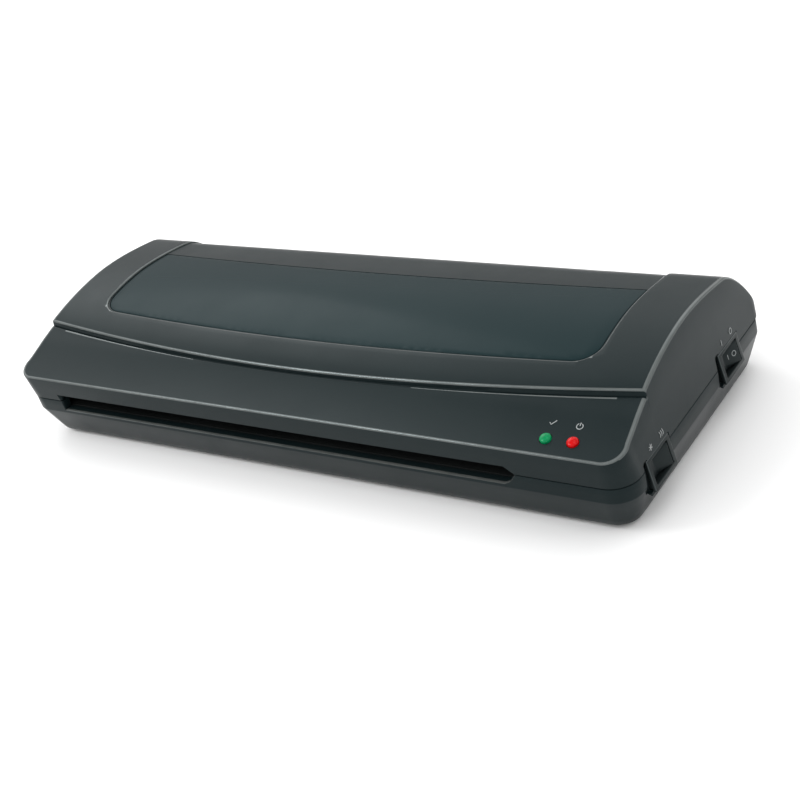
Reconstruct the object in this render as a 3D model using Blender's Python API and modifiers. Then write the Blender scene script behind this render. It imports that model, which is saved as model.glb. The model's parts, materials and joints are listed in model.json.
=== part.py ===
"""Pouch laminator: a low, wide desktop casing with a curved lid, a tinted window let into the lid,
a pouch slot front and back, two rocker switches on the right end, two indicator lamps, and inside
it two heating plates, a driven pair of silicone rollers, their gears, springs and geared motor.

X runs along the length, the pouch enters at -Y and leaves at +Y, Z is up, the ground is z = 0.
All dimensions below are millimetres; the scene is built in metres.
"""

import math

import bmesh
import bpy
from mathutils import Matrix, Vector

MM = 0.001
ORIGIN_SHIFT = Vector((-1.2, -0.9, 0.0))  # puts the bottom centre of the whole object at the origin

# Casing
HALF_LENGTH = 170.0
HALF_LENGTH_TOP = 166.8
FRONT_LIP_Y = -73.1
LIP_Z = 39.5
REAR_Y = 73.1
FLOOR_Z = 2.0
BAND_Z = 18.5
PARTING_Z = 25.7
PARTING_GAP = 0.5
RIM_REAR_Y = 70.5  # the rear rim and tongue stand further in, under the lid's thick rear edge
WALL = 2.5
ROOF = 3.6
PANEL_SLOPE = 0.366
ROOF_CURVES = (
    ((-54, 47.8), (-39.9, 56.3), (-12.1, 62), (6, 62)),
    ((6, 62), (18.3, 62), (31.2, 60.3), (43.2, 58.3)),
    ((43.2, 58.3), (53.2, 56.7), (69.2, 39.2), (72.7, 25)),
)

# Seam between lid and front panel, bowed in plan
SEAM_CENTRE_Y = -51.0
SEAM_BOW = 10.0
SEAM_HALF_WIDTH = 0.6
SEAM_DEPTH = 1.4

# Recess over the lid and the window in it
RECESS_HALF = 141.0
RECESS_FRONT_Y = -34.8
RECESS_BOW = 5.3
RECESS_CORNER = 12.0
RECESS_DEPTH = 0.9
WINDOW_REAR_Y = 22.5
WINDOW_REAR_BOW = 4.0
WINDOW_THICK = 1.1
WINDOW_INSET = 1.0
GAP = 0.3

# Pouch path and slots
PATH_Z = 24.2
SLOT_LEFT = -144.0
SLOT_RIGHT = 119.0
SLOT_TAPER = 5.0
SLOT_LOW = 20.3
SLOT_HIGH = 28.5

# Rollers, frames and drive
ROLLER_Y = 12.0
ROLLER_RADIUS = 9.0
ROLLER_NIP = 0.3
SHAFT_RADIUS = 3.0
FRAME_LEFT_X = -150.0
FRAME_RIGHT_X = 125.0
FRAME_THICK = 1.5
BUSH_RADIUS = 4.0
ROLLER_TEETH = 18
PINION_TEETH = 12
PITCH_RADIUS = ROLLER_RADIUS + ROLLER_NIP / 2
PINION_ANGLE = math.radians(170)
GEAR_X = (128.0, 136.0)
SPRING_TOP_Z = 50.6
SLEEVE_X = (-143.0, 118.0)
MOTOR_CENTRE = (-3.0, 27.2)
MOTOR_RADIUS = 22.0
MOTOR_X = (140.0, 160.0)

# Heating plates, pouch guides and tie rods, as (y, z) spans or centres
PLATE_TAB = (-26.0, -14.0)
EXIT_TAB = (38.0, 48.0)
LOWER_PLATE = ((-35.0, -5.0), (20.9, 23.4))
UPPER_PLATE = ((-35.0, -5.0), (25.0, 27.5))
TIE_RODS = ((-40.0, 12.0), (50.0, 36.5))

# Rocker switches
SWITCH_TILT = math.radians(10)
SWITCH_FACE_X = 170.8
BEZEL = (21.5, 14.5, 1.5)
SWITCH_WINDOW = (17.9, 11.9)
HEAT_SWITCH = (-42.0, 21.3)
POWER_SWITCH = (34.5, 24.3)
ROCKER_PIVOT_DEPTH = 4.5
ROCKER_TIP_RADIUS = 9.1
ROCKER_REST_ANGLE = math.radians(14)
ROCKER_TRAVEL = math.radians(20)

# Screws, posts, feet
POST_X = 157.0
POST_FRONT_Y = -57.5
POST_REAR_Y = 60.0
POST_RADIUS = 4.2
SCREW_RADIUS = 1.5
SCREW_HEAD_RADIUS = 3.1
FOOT_X = 145.0
FOOT_Y = (-50.0, 55.0)
FOOT_RADIUS = 7.0
LAMPS_X = (134.0, 146.0)
LAMP_Y = -65.0
LAMP_RADIUS = 2.5
GLAND_X = 142.0
GLAND_Z = 12.5

LOWER_Z = PATH_Z - PITCH_RADIUS
UPPER_Z = PATH_Z + PITCH_RADIUS


# ---------------------------------------------------------------- building helpers


def clear_scene():
    for obj in list(bpy.data.objects):
        bpy.data.objects.remove(obj, do_unlink=True)


def collection(name):
    made = bpy.data.collections.new(name)
    bpy.context.scene.collection.children.link(made)
    return made


def material(name, colour, roughness, metallic=0.0):
    made = bpy.data.materials.new(name)
    made.use_nodes = True
    shader = made.node_tree.nodes["Principled BSDF"]
    shader.inputs["Base Color"].default_value = (*colour, 1.0)
    shader.inputs["Roughness"].default_value = roughness
    shader.inputs["Metallic"].default_value = metallic
    made.diffuse_color = (*colour, 1.0)
    return made


def link(name, mesh, origin, group):
    obj = bpy.data.objects.new(name, mesh)
    obj.location = (Vector(origin) + ORIGIN_SHIFT) * MM
    group.objects.link(obj)
    return obj


def mesh_from(shape, name, origin):
    bmesh.ops.remove_doubles(shape, verts=shape.verts, dist=0.0005)
    bmesh.ops.recalc_face_normals(shape, faces=shape.faces)
    bmesh.ops.translate(shape, verts=shape.verts, vec=-Vector(origin))
    bmesh.ops.scale(shape, verts=shape.verts, vec=(MM, MM, MM))
    mesh = bpy.data.meshes.new(name)
    shape.to_mesh(mesh)
    shape.free()
    return mesh


def piece(name, shape, look, origin=(0, 0, 0), smooth=True):
    """A visible sub-part made from a shape in millimetres, with its origin at the given point."""
    mesh = mesh_from(shape, name, origin)
    mesh.materials.append(look)
    if smooth:
        mesh.shade_smooth()
        mesh.set_sharp_from_angle(angle=math.radians(30))
    return link(name, mesh, origin, PARTS)


def tool(name, shape):
    """A hidden shape that cuts, joins or trims another one."""
    obj = link(name, mesh_from(shape, name, (0, 0, 0)), (0, 0, 0), TOOLS)
    obj.hide_render = True
    obj.display_type = "WIRE"
    return obj


def combine(obj, operation, other):
    change = obj.modifiers.new(operation.lower() + "_" + other.name[:20], "BOOLEAN")
    change.operation = operation
    change.solver = "EXACT"
    change.object = other
    return obj


def cut(obj, *others):
    for other in others:
        combine(obj, "DIFFERENCE", other)
    return obj


def join(obj, *others):
    for other in others:
        combine(obj, "UNION", other)
    return obj


def block(shape, x, y, z, turn=None):
    """A box between the given pairs, turned by the matrix when there is one."""
    centre = Vector(((x[0] + x[1]) / 2, (y[0] + y[1]) / 2, (z[0] + z[1]) / 2))
    size = Matrix.Diagonal((x[1] - x[0], y[1] - y[0], z[1] - z[0], 1))
    place = Matrix.Translation(centre) @ size
    bmesh.ops.create_cube(shape, size=1, matrix=turn @ place if turn else place)


def rod(shape, radius, start, end, sides=16, end_radius=None):
    """A round bar, or a cone, between two points."""
    start, end = Vector(start), Vector(end)
    along = end - start
    place = Matrix.Translation((start + end) / 2) @ along.to_track_quat("Z", "Y").to_matrix().to_4x4()
    bmesh.ops.create_cone(
        shape,
        cap_ends=True,
        segments=sides,
        radius1=radius,
        radius2=radius if end_radius is None else end_radius,
        depth=along.length,
        matrix=place,
    )


def extrusion(shape, outline, axis, span):
    """An outline pushed along X, Y or Z between the two values of span."""
    spots = {
        "X": lambda a, b: (span[0], a, b),
        "Y": lambda a, b: (a, span[0], b),
        "Z": lambda a, b: (a, b, span[0]),
    }[axis]
    face = shape.faces.new([shape.verts.new(spots(a, b)) for a, b in outline])
    grown = bmesh.ops.extrude_face_region(shape, geom=[face])
    tops = [item for item in grown["geom"] if isinstance(item, bmesh.types.BMVert)]
    step = {"X": (1, 0, 0), "Y": (0, 1, 0), "Z": (0, 0, 1)}[axis]
    bmesh.ops.translate(shape, verts=tops, vec=Vector(step) * (span[1] - span[0]))


def loft(shape, rings):
    """A closed skin over rings that hold the same number of points."""
    rows = [[shape.verts.new(point) for point in ring] for ring in rings]
    count = len(rows[0])
    for lower, upper in zip(rows, rows[1:]):
        for i in range(count):
            j = (i + 1) % count
            shape.faces.new((lower[i], lower[j], upper[j], upper[i]))
    shape.faces.new(rows[0][::-1])
    shape.faces.new(rows[-1])


def turned(name, profile, look, origin, axis, sides=16, closed=False):
    """A turned piece: (radius, height) points down the outer side, spun round the axis."""
    mesh = bpy.data.meshes.new(name)
    points = [(r * MM, 0, h * MM) for r, h in profile]
    edges = [(i, i + 1) for i in range(len(points) - 1)]
    if closed:
        edges.append((len(points) - 1, 0))
    mesh.from_pydata(points, edges, [])
    mesh.materials.append(look)
    obj = link(name, mesh, origin, PARTS)
    obj.rotation_euler = Vector(axis).to_track_quat("Z", "Y").to_euler()
    spin = obj.modifiers.new("turn", "SCREW")
    spin.axis = "Z"
    spin.steps = sides
    spin.render_steps = sides
    spin.use_merge_vertices = True
    spin.merge_threshold = 0.00001
    spin.use_smooth_shade = True
    return obj


# ---------------------------------------------------------------- casing curves


def bezier(points, steps):
    p0, p1, p2, p3 = (Vector((*point, 0)) for point in points)
    for i in range(steps + 1):
        t = i / steps
        s = 1 - t
        spot = s**3 * p0 + 3 * s * s * t * p1 + 3 * s * t * t * p2 + t**3 * p3
        yield spot.x, spot.y


def roof_line(offset=0.0, steps=(6, 4, 7)):
    """(y, z) points of the lid's profile from front to rear, moved inwards by the offset."""
    line = []
    for curve, count in zip(ROOF_CURVES, steps):
        line.extend(list(bezier(curve, count))[bool(line) :])
    moved = []
    for i, spot in enumerate(line):
        before, after = line[max(i - 1, 0)], line[min(i + 1, len(line) - 1)]
        run = Vector((after[0] - before[0], after[1] - before[1])).normalized()
        moved.append((spot[0] + run.y * offset, spot[1] - run.x * offset))
    return moved


def panel_z(y):
    return LIP_Z + PANEL_SLOPE * (y - FRONT_LIP_Y)


def seam_y(x):
    return SEAM_CENTRE_Y + SEAM_BOW * (x / HALF_LENGTH_TOP) ** 2


def corner_ring(z, half, front, rear, front_radius, rear_radius, inset=0.0, steps=4):
    """A rounded rectangle at height z, drawn in by the inset."""
    corners = (
        (half, rear, rear_radius, 0),
        (-half, rear, rear_radius, 90),
        (-half, front, front_radius, 180),
        (half, front, front_radius, 270),
    )
    ring = []
    for x, y, radius, start in corners:
        cx = x - math.copysign(radius, x)
        cy = y - radius if y == rear else y + radius
        for i in range(steps + 1):
            angle = math.radians(start + 90 * i / steps)
            reach = radius - inset
            ring.append((cx + reach * math.cos(angle), cy + reach * math.sin(angle), z))
    return ring


def upper_rings(inset=0.0, low=PARTING_Z + PARTING_GAP / 2):
    """Plan rings of the top cover: its ends draw in upwards and its front leans out to the lip."""
    front = FRONT_LIP_Y + 2.6
    return [
        corner_ring(low, HALF_LENGTH, front, REAR_Y + 1, 12, 8, inset),
        corner_ring(LIP_Z + 0.6, HALF_LENGTH - 1.1, FRONT_LIP_Y, REAR_Y + 1, 9, 8, inset),
        corner_ring(66, HALF_LENGTH_TOP - 0.3, FRONT_LIP_Y, REAR_Y + 1, 8, 8, inset),
    ]


def recess_outline(inset, rear, rear_bow=0.0):
    """Plan outline of the lid's recess or window: bowed front edge, round front corners."""
    half = RECESS_HALF - inset
    corner = RECESS_CORNER - inset
    flat = half - corner

    def front(x):
        return RECESS_FRONT_Y + inset + RECESS_BOW * (x / RECESS_HALF) ** 2

    points = [(flat * (i / 4 - 1), front(flat * (i / 4 - 1))) for i in range(9)]
    for i in range(1, 6):
        angle = math.radians(-90 + 18 * i)
        reach = (flat + corner * math.cos(angle), front(flat) + corner * (1 + math.sin(angle)))
        points.append(reach)
    for i in range(9):
        x = half * (1 - i / 4)
        points.append((x, rear + rear_bow * (x / RECESS_HALF) ** 2))
    for i in range(5):
        angle = math.radians(180 + 18 * i)
        reach = (-flat + corner * math.cos(angle), front(flat) + corner * (1 + math.sin(angle)))
        points.append(reach)
    return points


def under_roof(offset):
    """Outline of everything below the lid's profile moved in by the offset."""
    line = [spot for spot in roof_line(offset) if spot[1] > 24]
    return [(-60, 10), (-60, line[0][1])] + line + [(80, line[-1][1]), (80, 10)]


def switch_place(y, z):
    """Frame of a switch: X along the casing's depth, Y up its tilted face, Z outwards."""
    lean = Vector((math.cos(SWITCH_TILT), 0, math.sin(SWITCH_TILT)))
    up = Vector((-math.sin(SWITCH_TILT), 0, math.cos(SWITCH_TILT)))
    turn = Matrix(((0, up.x, lean.x), (1, up.y, lean.y), (0, up.z, lean.z))).to_4x4()
    return Matrix.Translation((SWITCH_FACE_X, y, z)) @ turn


# ---------------------------------------------------------------- casing


def slot_tool(name, y, low, high):
    """The pouch mouth, open through one wall, its right end tapering to a thin edge."""
    shape = bmesh.new()
    outline = [
        (SLOT_LEFT, low),
        (SLOT_RIGHT - SLOT_TAPER, low),
        (SLOT_RIGHT, max(low, PATH_Z - 1.5)),
        (SLOT_RIGHT, min(high, PATH_Z + 3.0)),
        (SLOT_RIGHT - SLOT_TAPER, high),
        (SLOT_LEFT, high),
    ]
    extrusion(shape, outline, "Y", y)
    return tool(name, shape)


def switch_tool(name, y, z):
    """Room for a switch: its bezel sunk to the casing and its body through the wall."""
    shape = bmesh.new()
    place = switch_place(y, z)
    width, height = BEZEL[0] / 2 + GAP, BEZEL[1] / 2 + GAP
    block(shape, (-width, width), (-height, height), (-BEZEL[2] - GAP, 12), place)
    made = tool(name, shape)
    inner = bmesh.new()
    block(inner, (-9.9, 9.9), (-6.7, 6.7), (-30, 5), place)
    return join(made, tool(name + "_body", inner))


def finger_tool(name, y, z):
    """The shallow notch in front of a switch."""
    shape = bmesh.new()
    front = y - BEZEL[0] / 2 - GAP
    block(shape, (167.9, 185), (front - 2.6, front + 1), (z - 6.5, z + 7))
    return tool(name, shape)


def recess_tool():
    plan = bmesh.new()
    extrusion(plan, recess_outline(0, 90), "Z", (20, 75))
    made = tool("recess", plan)
    below = bmesh.new()
    extrusion(below, under_roof(RECESS_DEPTH), "X", (-160, 160))
    return cut(made, tool("recess_floor", below))


def pocket_tool():
    plan = bmesh.new()
    outline = recess_outline(WINDOW_INSET - GAP, WINDOW_REAR_Y + GAP, WINDOW_REAR_BOW)
    extrusion(plan, outline, "Z", (30, 75))
    made = tool("window_pocket", plan)
    below = bmesh.new()
    extrusion(below, under_roof(RECESS_DEPTH + WINDOW_THICK + GAP), "X", (-160, 160))
    return cut(made, tool("window_floor", below))


def panel_tool():
    """Takes the front panel down below the lid, with the seam's groove along its rear."""
    shape = bmesh.new()
    rings = []
    for i in range(15):
        x = -182 + 26 * i
        y = seam_y(x)
        front, rear = y - SEAM_HALF_WIDTH, y + SEAM_HALF_WIDTH
        floor = panel_z(front) - SEAM_DEPTH
        ring = [(-95, panel_z(-95)), (front, panel_z(front)), (front, floor)]
        ring += [(rear, floor), (rear, 80), (-95, 80)]
        rings.append([(x, *spot) for spot in ring])
    loft(shape, rings)
    return tool("front_panel", shape)


def cover_hollow():
    """The room inside the top cover, with its four screw posts left standing."""
    shape = bmesh.new()
    loft(shape, upper_rings(WALL, 22))
    made = tool("cover_hollow", shape)
    below = bmesh.new()
    roof = [spot for spot in roof_line(ROOF, (4, 4, 6)) if spot[0] > -36 and spot[1] > 20]
    knee = -38.0
    front = [(-85, 12), (-85, panel_z(-85) - 3.2), (knee, panel_z(knee) - 3.2)]
    extrusion(below, front + roof + [(roof[-1][0], 12)], "X", (-180, 180))
    combine(made, "INTERSECT", tool("cover_hollow_roof", below))
    posts = bmesh.new()
    for x in (-POST_X, POST_X):
        for y in (POST_FRONT_Y, POST_REAR_Y):
            rod(posts, POST_RADIUS, (x, y, 10), (x, y, 70), 12)
    return cut(made, tool("cover_posts", posts))


def lamp_spot(x):
    return Vector((x, LAMP_Y, panel_z(LAMP_Y)))


def panel_normal():
    return Vector((0, -PANEL_SLOPE, 1)).normalized()


def cover_holes():
    """Lamp holes through the front panel and blind screw holes up the posts."""
    shape = bmesh.new()
    for x in LAMPS_X:
        spot = lamp_spot(x)
        rod(shape, LAMP_RADIUS + GAP, spot - panel_normal() * 8, spot + panel_normal() * 4, 20)
    for x in (-POST_X, POST_X):
        for y in (POST_FRONT_Y, POST_REAR_Y):
            rod(shape, SCREW_RADIUS + GAP, (x, y, 20), (x, y, 38.5), 10)
    return tool("cover_holes", shape)


def top_cover(look):
    shape = bmesh.new()
    loft(shape, upper_rings())
    cover = piece("top_cover", shape, look)
    roof = bmesh.new()
    line = roof_line()
    extrusion(roof, [(-85, 12), (-85, line[0][1])] + line + [(line[-1][0], 12)], "X", (-180, 180))
    combine(cover, "INTERSECT", tool("roof", roof))
    cut(cover, panel_tool(), recess_tool(), pocket_tool(), cover_hollow(), cover_holes())
    cut(cover, FRONT_SLOT, REAR_SLOT, HEAT_OPENING, POWER_OPENING, HEAT_NOTCH, POWER_NOTCH)
    return cover


def lower_rings(inset=0.0):
    top = PARTING_Z - PARTING_GAP / 2
    return [
        corner_ring(FLOOR_Z, HALF_LENGTH - 5.5, -63.0, 71.2, 9, 9, inset),
        corner_ring(FLOOR_Z + 1.2, HALF_LENGTH - 4.7, -64.1, 71.8, 10, 9, inset),
        corner_ring(BAND_Z, HALF_LENGTH, -70.0, REAR_Y, 12, 8, inset),
        corner_ring(top, HALF_LENGTH, FRONT_LIP_Y + 2.6, 72.7, 12, 8, inset),
    ]


def tongue_tool():
    """The raised lip inside the parting line, which the top cover drops over."""
    shape = bmesh.new()
    loft(shape, [corner_ring(z, HALF_LENGTH, -70.3, RIM_REAR_Y, 12, 8, 3.0) for z in (21, 27.8)])
    return tool("tongue", shape)


def housing_hollow():
    shape = bmesh.new()
    rings = [
        corner_ring(FLOOR_Z + WALL, HALF_LENGTH - 4.4, -64.4, 71.6, 10, 9, WALL),
        corner_ring(BAND_Z, HALF_LENGTH, -70.0, REAR_Y - 0.4, 12, 8, WALL),
        corner_ring(BAND_Z + 1.6, HALF_LENGTH, -70.0, RIM_REAR_Y, 12, 8, 4.2),
        corner_ring(40, HALF_LENGTH, -70.3, RIM_REAR_Y, 12, 8, 4.2),
    ]
    loft(shape, rings)
    made = tool("housing_hollow", shape)
    kept = bmesh.new()
    for x in (-POST_X, POST_X):
        for y in (POST_FRONT_Y, POST_REAR_Y):
            rod(kept, POST_RADIUS, (x, y, -5), (x, y, 25.2), 12)
    return cut(made, tool("housing_posts", kept))


def housing_extras():
    """Cradles that hold the frames upright, and the board's four stand-offs."""
    shape = bmesh.new()
    for x in (FRAME_LEFT_X, FRAME_RIGHT_X):
        for y in (-30, 36):
            for side in (-1, 1):
                near = x + side * (FRAME_THICK / 2 + GAP)
                block(shape, sorted((near, near + side * 2)), (y - 6, y + 6), (3.5, 9))
    for x in (34, 106):
        for y in (31, 59):
            rod(shape, 2.5, (x, y, 3.5), (x, y, 8), 8)
    return tool("housing_extras", shape)


def switch_boss(name, y, z, foot):
    """The stand the lower part of a switch sits on, out from the sloping band."""
    shape = bmesh.new()
    lean = math.tan(SWITCH_TILT)
    back = SWITCH_FACE_X - BEZEL[2] / math.cos(SWITCH_TILT) - GAP
    top = PARTING_Z - PARTING_GAP / 2
    face = [(back - lean * (h - z), h) for h in (foot, top)]
    extrusion(shape, [(162, foot + 4), face[0], face[1], (162, top)], "Y", (y - 11.8, y + 11.8))
    return tool(name, shape)


def housing_holes():
    """Counterbored screw holes, foot seats, floor vents and the cord inlet."""
    shape = bmesh.new()
    for x in (-POST_X, POST_X):
        for y in (POST_FRONT_Y, POST_REAR_Y):
            rod(shape, SCREW_HEAD_RADIUS + 0.5, (x, y, -3), (x, y, 6), 12)
    for x in (-FOOT_X, FOOT_X):
        for y in FOOT_Y:
            rod(shape, FOOT_RADIUS + GAP, (x, y, -3), (x, y, FLOOR_Z + 1), 20)
    for i in range(9):
        x = -120 + 26 * i
        block(shape, (x, x + 3), (-36, -4), (-3, 12))
    rod(shape, 5.3, (GLAND_X, 60, GLAND_Z), (GLAND_X, 90, GLAND_Z), 16)
    return tool("housing_holes", shape)


def screw_bores():
    shape = bmesh.new()
    for x in (-POST_X, POST_X):
        for y in (POST_FRONT_Y, POST_REAR_Y):
            rod(shape, SCREW_RADIUS + GAP, (x, y, -4), (x, y, 40), 10)
    return tool("screw_bores", shape)


def bottom_housing(look):
    shape = bmesh.new()
    loft(shape, lower_rings())
    housing = piece("bottom_housing", shape, look)
    join(housing, tongue_tool(), HEAT_BOSS, POWER_BOSS)
    cut(housing, housing_hollow())
    join(housing, housing_extras())
    cut(housing, housing_holes(), screw_bores())
    cut(housing, FRONT_SLOT, REAR_SLOT, HEAT_OPENING, POWER_OPENING, HEAT_NOTCH, POWER_NOTCH)
    return housing


def window_panel(look):
    plan = bmesh.new()
    outline = recess_outline(WINDOW_INSET, WINDOW_REAR_Y, WINDOW_REAR_BOW)
    extrusion(plan, outline, "Z", (30, 75))
    window = piece("window_panel", plan, look)
    above = bmesh.new()
    extrusion(above, under_roof(RECESS_DEPTH), "X", (-160, 160))
    combine(window, "INTERSECT", tool("window_top", above))
    below = bmesh.new()
    extrusion(below, under_roof(RECESS_DEPTH + WINDOW_THICK), "X", (-160, 160))
    return cut(window, tool("window_underside", below))


def lamp_lens(name, x, look):
    """A domed 5 mm lens standing a little out of the panel."""
    profile = []
    for angle in map(math.radians, (0, 30, 60, 90)):
        profile.append((LAMP_RADIUS * math.sin(angle), 0.3 + 0.9 * math.cos(angle)))
    profile += [(LAMP_RADIUS, -6.5), (0, -6.5)]
    return turned(name, profile, look, lamp_spot(x), panel_normal(), 20)


def rubber_foot(name, x, y, look):
    profile = [(0, FLOOR_Z + 0.7), (FOOT_RADIUS, FLOOR_Z + 0.7), (FOOT_RADIUS, 1.0), (6.2, 0), (0, 0)]
    return turned(name, profile, look, (x, y, 0), (0, 0, 1), 20)


def cord_gland(look):
    """A grommet through the rear wall with an open bore for a cord."""
    profile = [(3.4, 2.0), (5.4, 2.0), (6.6, 0.8), (6.6, 0), (5.0, -0.3)]
    profile += [(5.0, -5.2), (6.0, -5.5), (5.6, -7), (3.4, -7)]
    return turned("cord_gland", profile, look, (GLAND_X, 73.5, GLAND_Z), (0, 1, 0), 18, closed=True)


def screw(name, tip, axis, head, length, look, radius=SCREW_RADIUS, head_radius=SCREW_HEAD_RADIUS):
    """A pan-head screw whose head's underside is at the given point, its shank along the axis."""
    profile = [(0, length), (radius * 0.6, length), (radius, length - 1.2), (radius, 0), (head_radius, 0)]
    profile += [(head_radius, -head * 0.5), (head_radius * 0.75, -head), (0, -head)]
    return turned(name, profile, look, tip, axis, 12)


# ---------------------------------------------------------------- switches


def switch_body(name, y, z, look):
    place = switch_place(y, z)
    shape = bmesh.new()
    block(shape, (-BEZEL[0] / 2, BEZEL[0] / 2), (-BEZEL[1] / 2, BEZEL[1] / 2), (-BEZEL[2], 0), place)
    body = piece(name, shape, look, switch_place(y, z).translation)
    core = bmesh.new()
    block(core, (-9.6, 9.6), (-6.4, 6.4), (-15, -0.5), place)
    blades = bmesh.new()
    for u in (-5, 5):
        block(blades, (u - 0.5, u + 0.5), (-2.4, 2.4), (-21, -14), place)
    room = bmesh.new()
    half_u, half_v = SWITCH_WINDOW[0] / 2, SWITCH_WINDOW[1] / 2
    block(room, (-half_u, half_u), (-half_v, half_v), (-11, 5), place)
    join(body, tool(name + "_core", core), tool(name + "_blades", blades))
    return cut(body, tool(name + "_room", room))


def rocker(name, y, z, look):
    """A dished rocker at rest with its front end pressed; its origin is on the hinge."""
    place = switch_place(y, z)

    def spot(radius, degrees):
        angle = math.radians(degrees)
        return radius * math.cos(angle), radius * math.sin(angle) - ROCKER_PIVOT_DEPTH

    pressed = 180 - math.degrees(ROCKER_REST_ANGLE)
    raised = math.degrees(ROCKER_REST_ANGLE + ROCKER_TRAVEL)
    middle = (pressed + raised) / 2
    outline = [spot(ROCKER_TIP_RADIUS, pressed)]
    for share, depth in ((0.75, 6.7), (0.4, 5.4), (0, 4.95), (-0.4, 5.4), (-0.75, 6.7)):
        outline.append(spot(depth, middle + share * (pressed - raised) / 2))
    outline += [spot(ROCKER_TIP_RADIUS, raised), spot(8.6, raised - 28), spot(8.5, -4)]
    outline += [spot(5.6, -50), spot(5.6, -130), spot(8.5, 184)]
    shape = bmesh.new()
    half = SWITCH_WINDOW[1] / 2 - GAP
    extrusion(shape, outline, "Z", (-half, half))
    # The outline lies across the hinge; it is turned so that its thickness runs up the face.
    stand = Matrix(((1, 0, 0, 0), (0, 0, 1, 0), (0, 1, 0, 0), (0, 0, 0, 1)))
    bmesh.ops.transform(shape, matrix=place @ stand, verts=shape.verts)
    hinge = place @ Vector((0, 0, -ROCKER_PIVOT_DEPTH))
    return piece(name, shape, look, hinge)


# ---------------------------------------------------------------- frames, rollers and drive


def entry_section(side, front=-65.2, rear=-37.5):
    """Section of an entry guide, sloping towards the plates; side is -1 below and 1 above."""
    near = [(front, PATH_Z + side * 3.3), (rear, PATH_Z + side * 1.2)]
    far = [(y, z + side * 1.2) for y, z in reversed(near)]
    return near + far


def exit_section(side, front=23.5, rear=65.8):
    near = sorted((PATH_Z + side * 2.6, PATH_Z + side * 3.8))
    return [(front, near[0]), (rear, near[0]), (rear, near[1]), (front, near[1])]


def frame_openings():
    """Holes both frames share: tabs of plates and guides, and the tie-rod screws."""
    shape = bmesh.new()
    span = (-155, 130)
    for _, heights in (LOWER_PLATE, UPPER_PLATE):
        block(shape, span, (PLATE_TAB[0] - GAP, PLATE_TAB[1] + GAP), (heights[0] - GAP, heights[1] + GAP))
    for side in (-1, 1):
        edges = sorted((PATH_Z + side * 2.6, PATH_Z + side * 3.8))
        block(shape, span, (EXIT_TAB[0] - GAP, EXIT_TAB[1] + GAP), (edges[0] - GAP, edges[1] + GAP))
    for y, z in TIE_RODS:
        rod(shape, 1.8, (span[0], y, z), (span[1], y, z), 10)
    rod(shape, BUSH_RADIUS + GAP, (span[0], ROLLER_Y, LOWER_Z), (span[1], ROLLER_Y, LOWER_Z), 20)
    return tool("frame_openings", shape)


def bush_slot():
    """The upright slot the sprung upper bushes slide in."""
    half = BUSH_RADIUS + GAP
    outline = []
    for i in range(9):
        angle = math.radians(180 + 22.5 * i)
        outline.append((ROLLER_Y + half * math.cos(angle), UPPER_Z + half * math.sin(angle)))
    outline += [(ROLLER_Y + half, SPRING_TOP_Z + GAP), (ROLLER_Y - half, SPRING_TOP_Z + GAP)]
    shape = bmesh.new()
    extrusion(shape, outline, "X", (-155, 130))
    return tool("bush_slot", shape)


def side_frame(name, x, look):
    outline = [(-46, 5.2), (56, 5.2), (56, 40), (44, 46), (28, 54), (-4, 54), (-28, 47), (-43, 40), (-43, 30)]
    outline += [(-40, 29), (-40, 19), (-46, 18)]
    shape = bmesh.new()
    extrusion(shape, outline, "X", (x - FRAME_THICK / 2, x + FRAME_THICK / 2))
    return cut(piece(name, shape, look), FRAME_OPENINGS, BUSH_SLOT)


def tie_rod(name, y, z, look):
    ends = (FRAME_LEFT_X + FRAME_THICK / 2 + GAP, FRAME_RIGHT_X - FRAME_THICK / 2 - GAP)
    shape = bmesh.new()
    rod(shape, 3.0, (ends[0], y, z), (ends[1], y, z), 12)
    bores = bmesh.new()
    for end, inward in zip(ends, (1, -1)):
        rod(bores, 1.7, (end - inward * 3, y, z), (end + inward * 9, y, z), 10)
    return cut(piece(name, shape, look), tool(name + "_bores", bores))


def tabbed(name, section, tab, look):
    """A strip between the frames whose tabs reach through them."""
    shape = bmesh.new()
    extrusion(shape, section, "X", (FRAME_LEFT_X + 1.1, FRAME_RIGHT_X - 1.1))
    strip = piece(name, shape, look)
    if tab:
        (y0, y1), (z0, z1) = tab
        ends = bmesh.new()
        block(ends, (FRAME_LEFT_X - 1.4, FRAME_RIGHT_X + 1.4), (y0, y1), (z0 + 0.02, z1 - 0.02))
        join(strip, tool(name + "_tabs", ends))
    return strip


def heating_plate(name, plate, look):
    (y0, y1), (z0, z1) = plate
    lower = z1 < PATH_Z
    lip = -1 if lower else 1
    face, back = (z1, z0) if lower else (z0, z1)
    section = [(y0, back), (y1, back), (y1, face), (y0 + 4, face), (y0, face + lip * 1.2)]
    return tabbed(name, section, (PLATE_TAB, (z0, z1)), look)


def heater_strip(name, z, look):
    shape = bmesh.new()
    block(shape, (-138, 112), (-31, -9), z)
    strip = piece(name, shape, look)
    leads = bmesh.new()
    block(leads, (110, 120), (-24, -20), (z[0] + 0.2, z[1] - 0.2))
    return join(strip, tool(name + "_lead", leads))


def entry_guide(name, side, look):
    return tabbed(name, entry_section(side), None, look)


def exit_guide(name, side, look):
    edges = sorted((PATH_Z + side * 2.6, PATH_Z + side * 3.8))
    return tabbed(name, exit_section(side), (EXIT_TAB, edges), look)


def shaft(name, z, look):
    shape = bmesh.new()
    rod(shape, SHAFT_RADIUS, (-154.5, ROLLER_Y, z), (137.6, ROLLER_Y, z), 16)
    return piece(name, shape, look, (0, ROLLER_Y, z))


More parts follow.
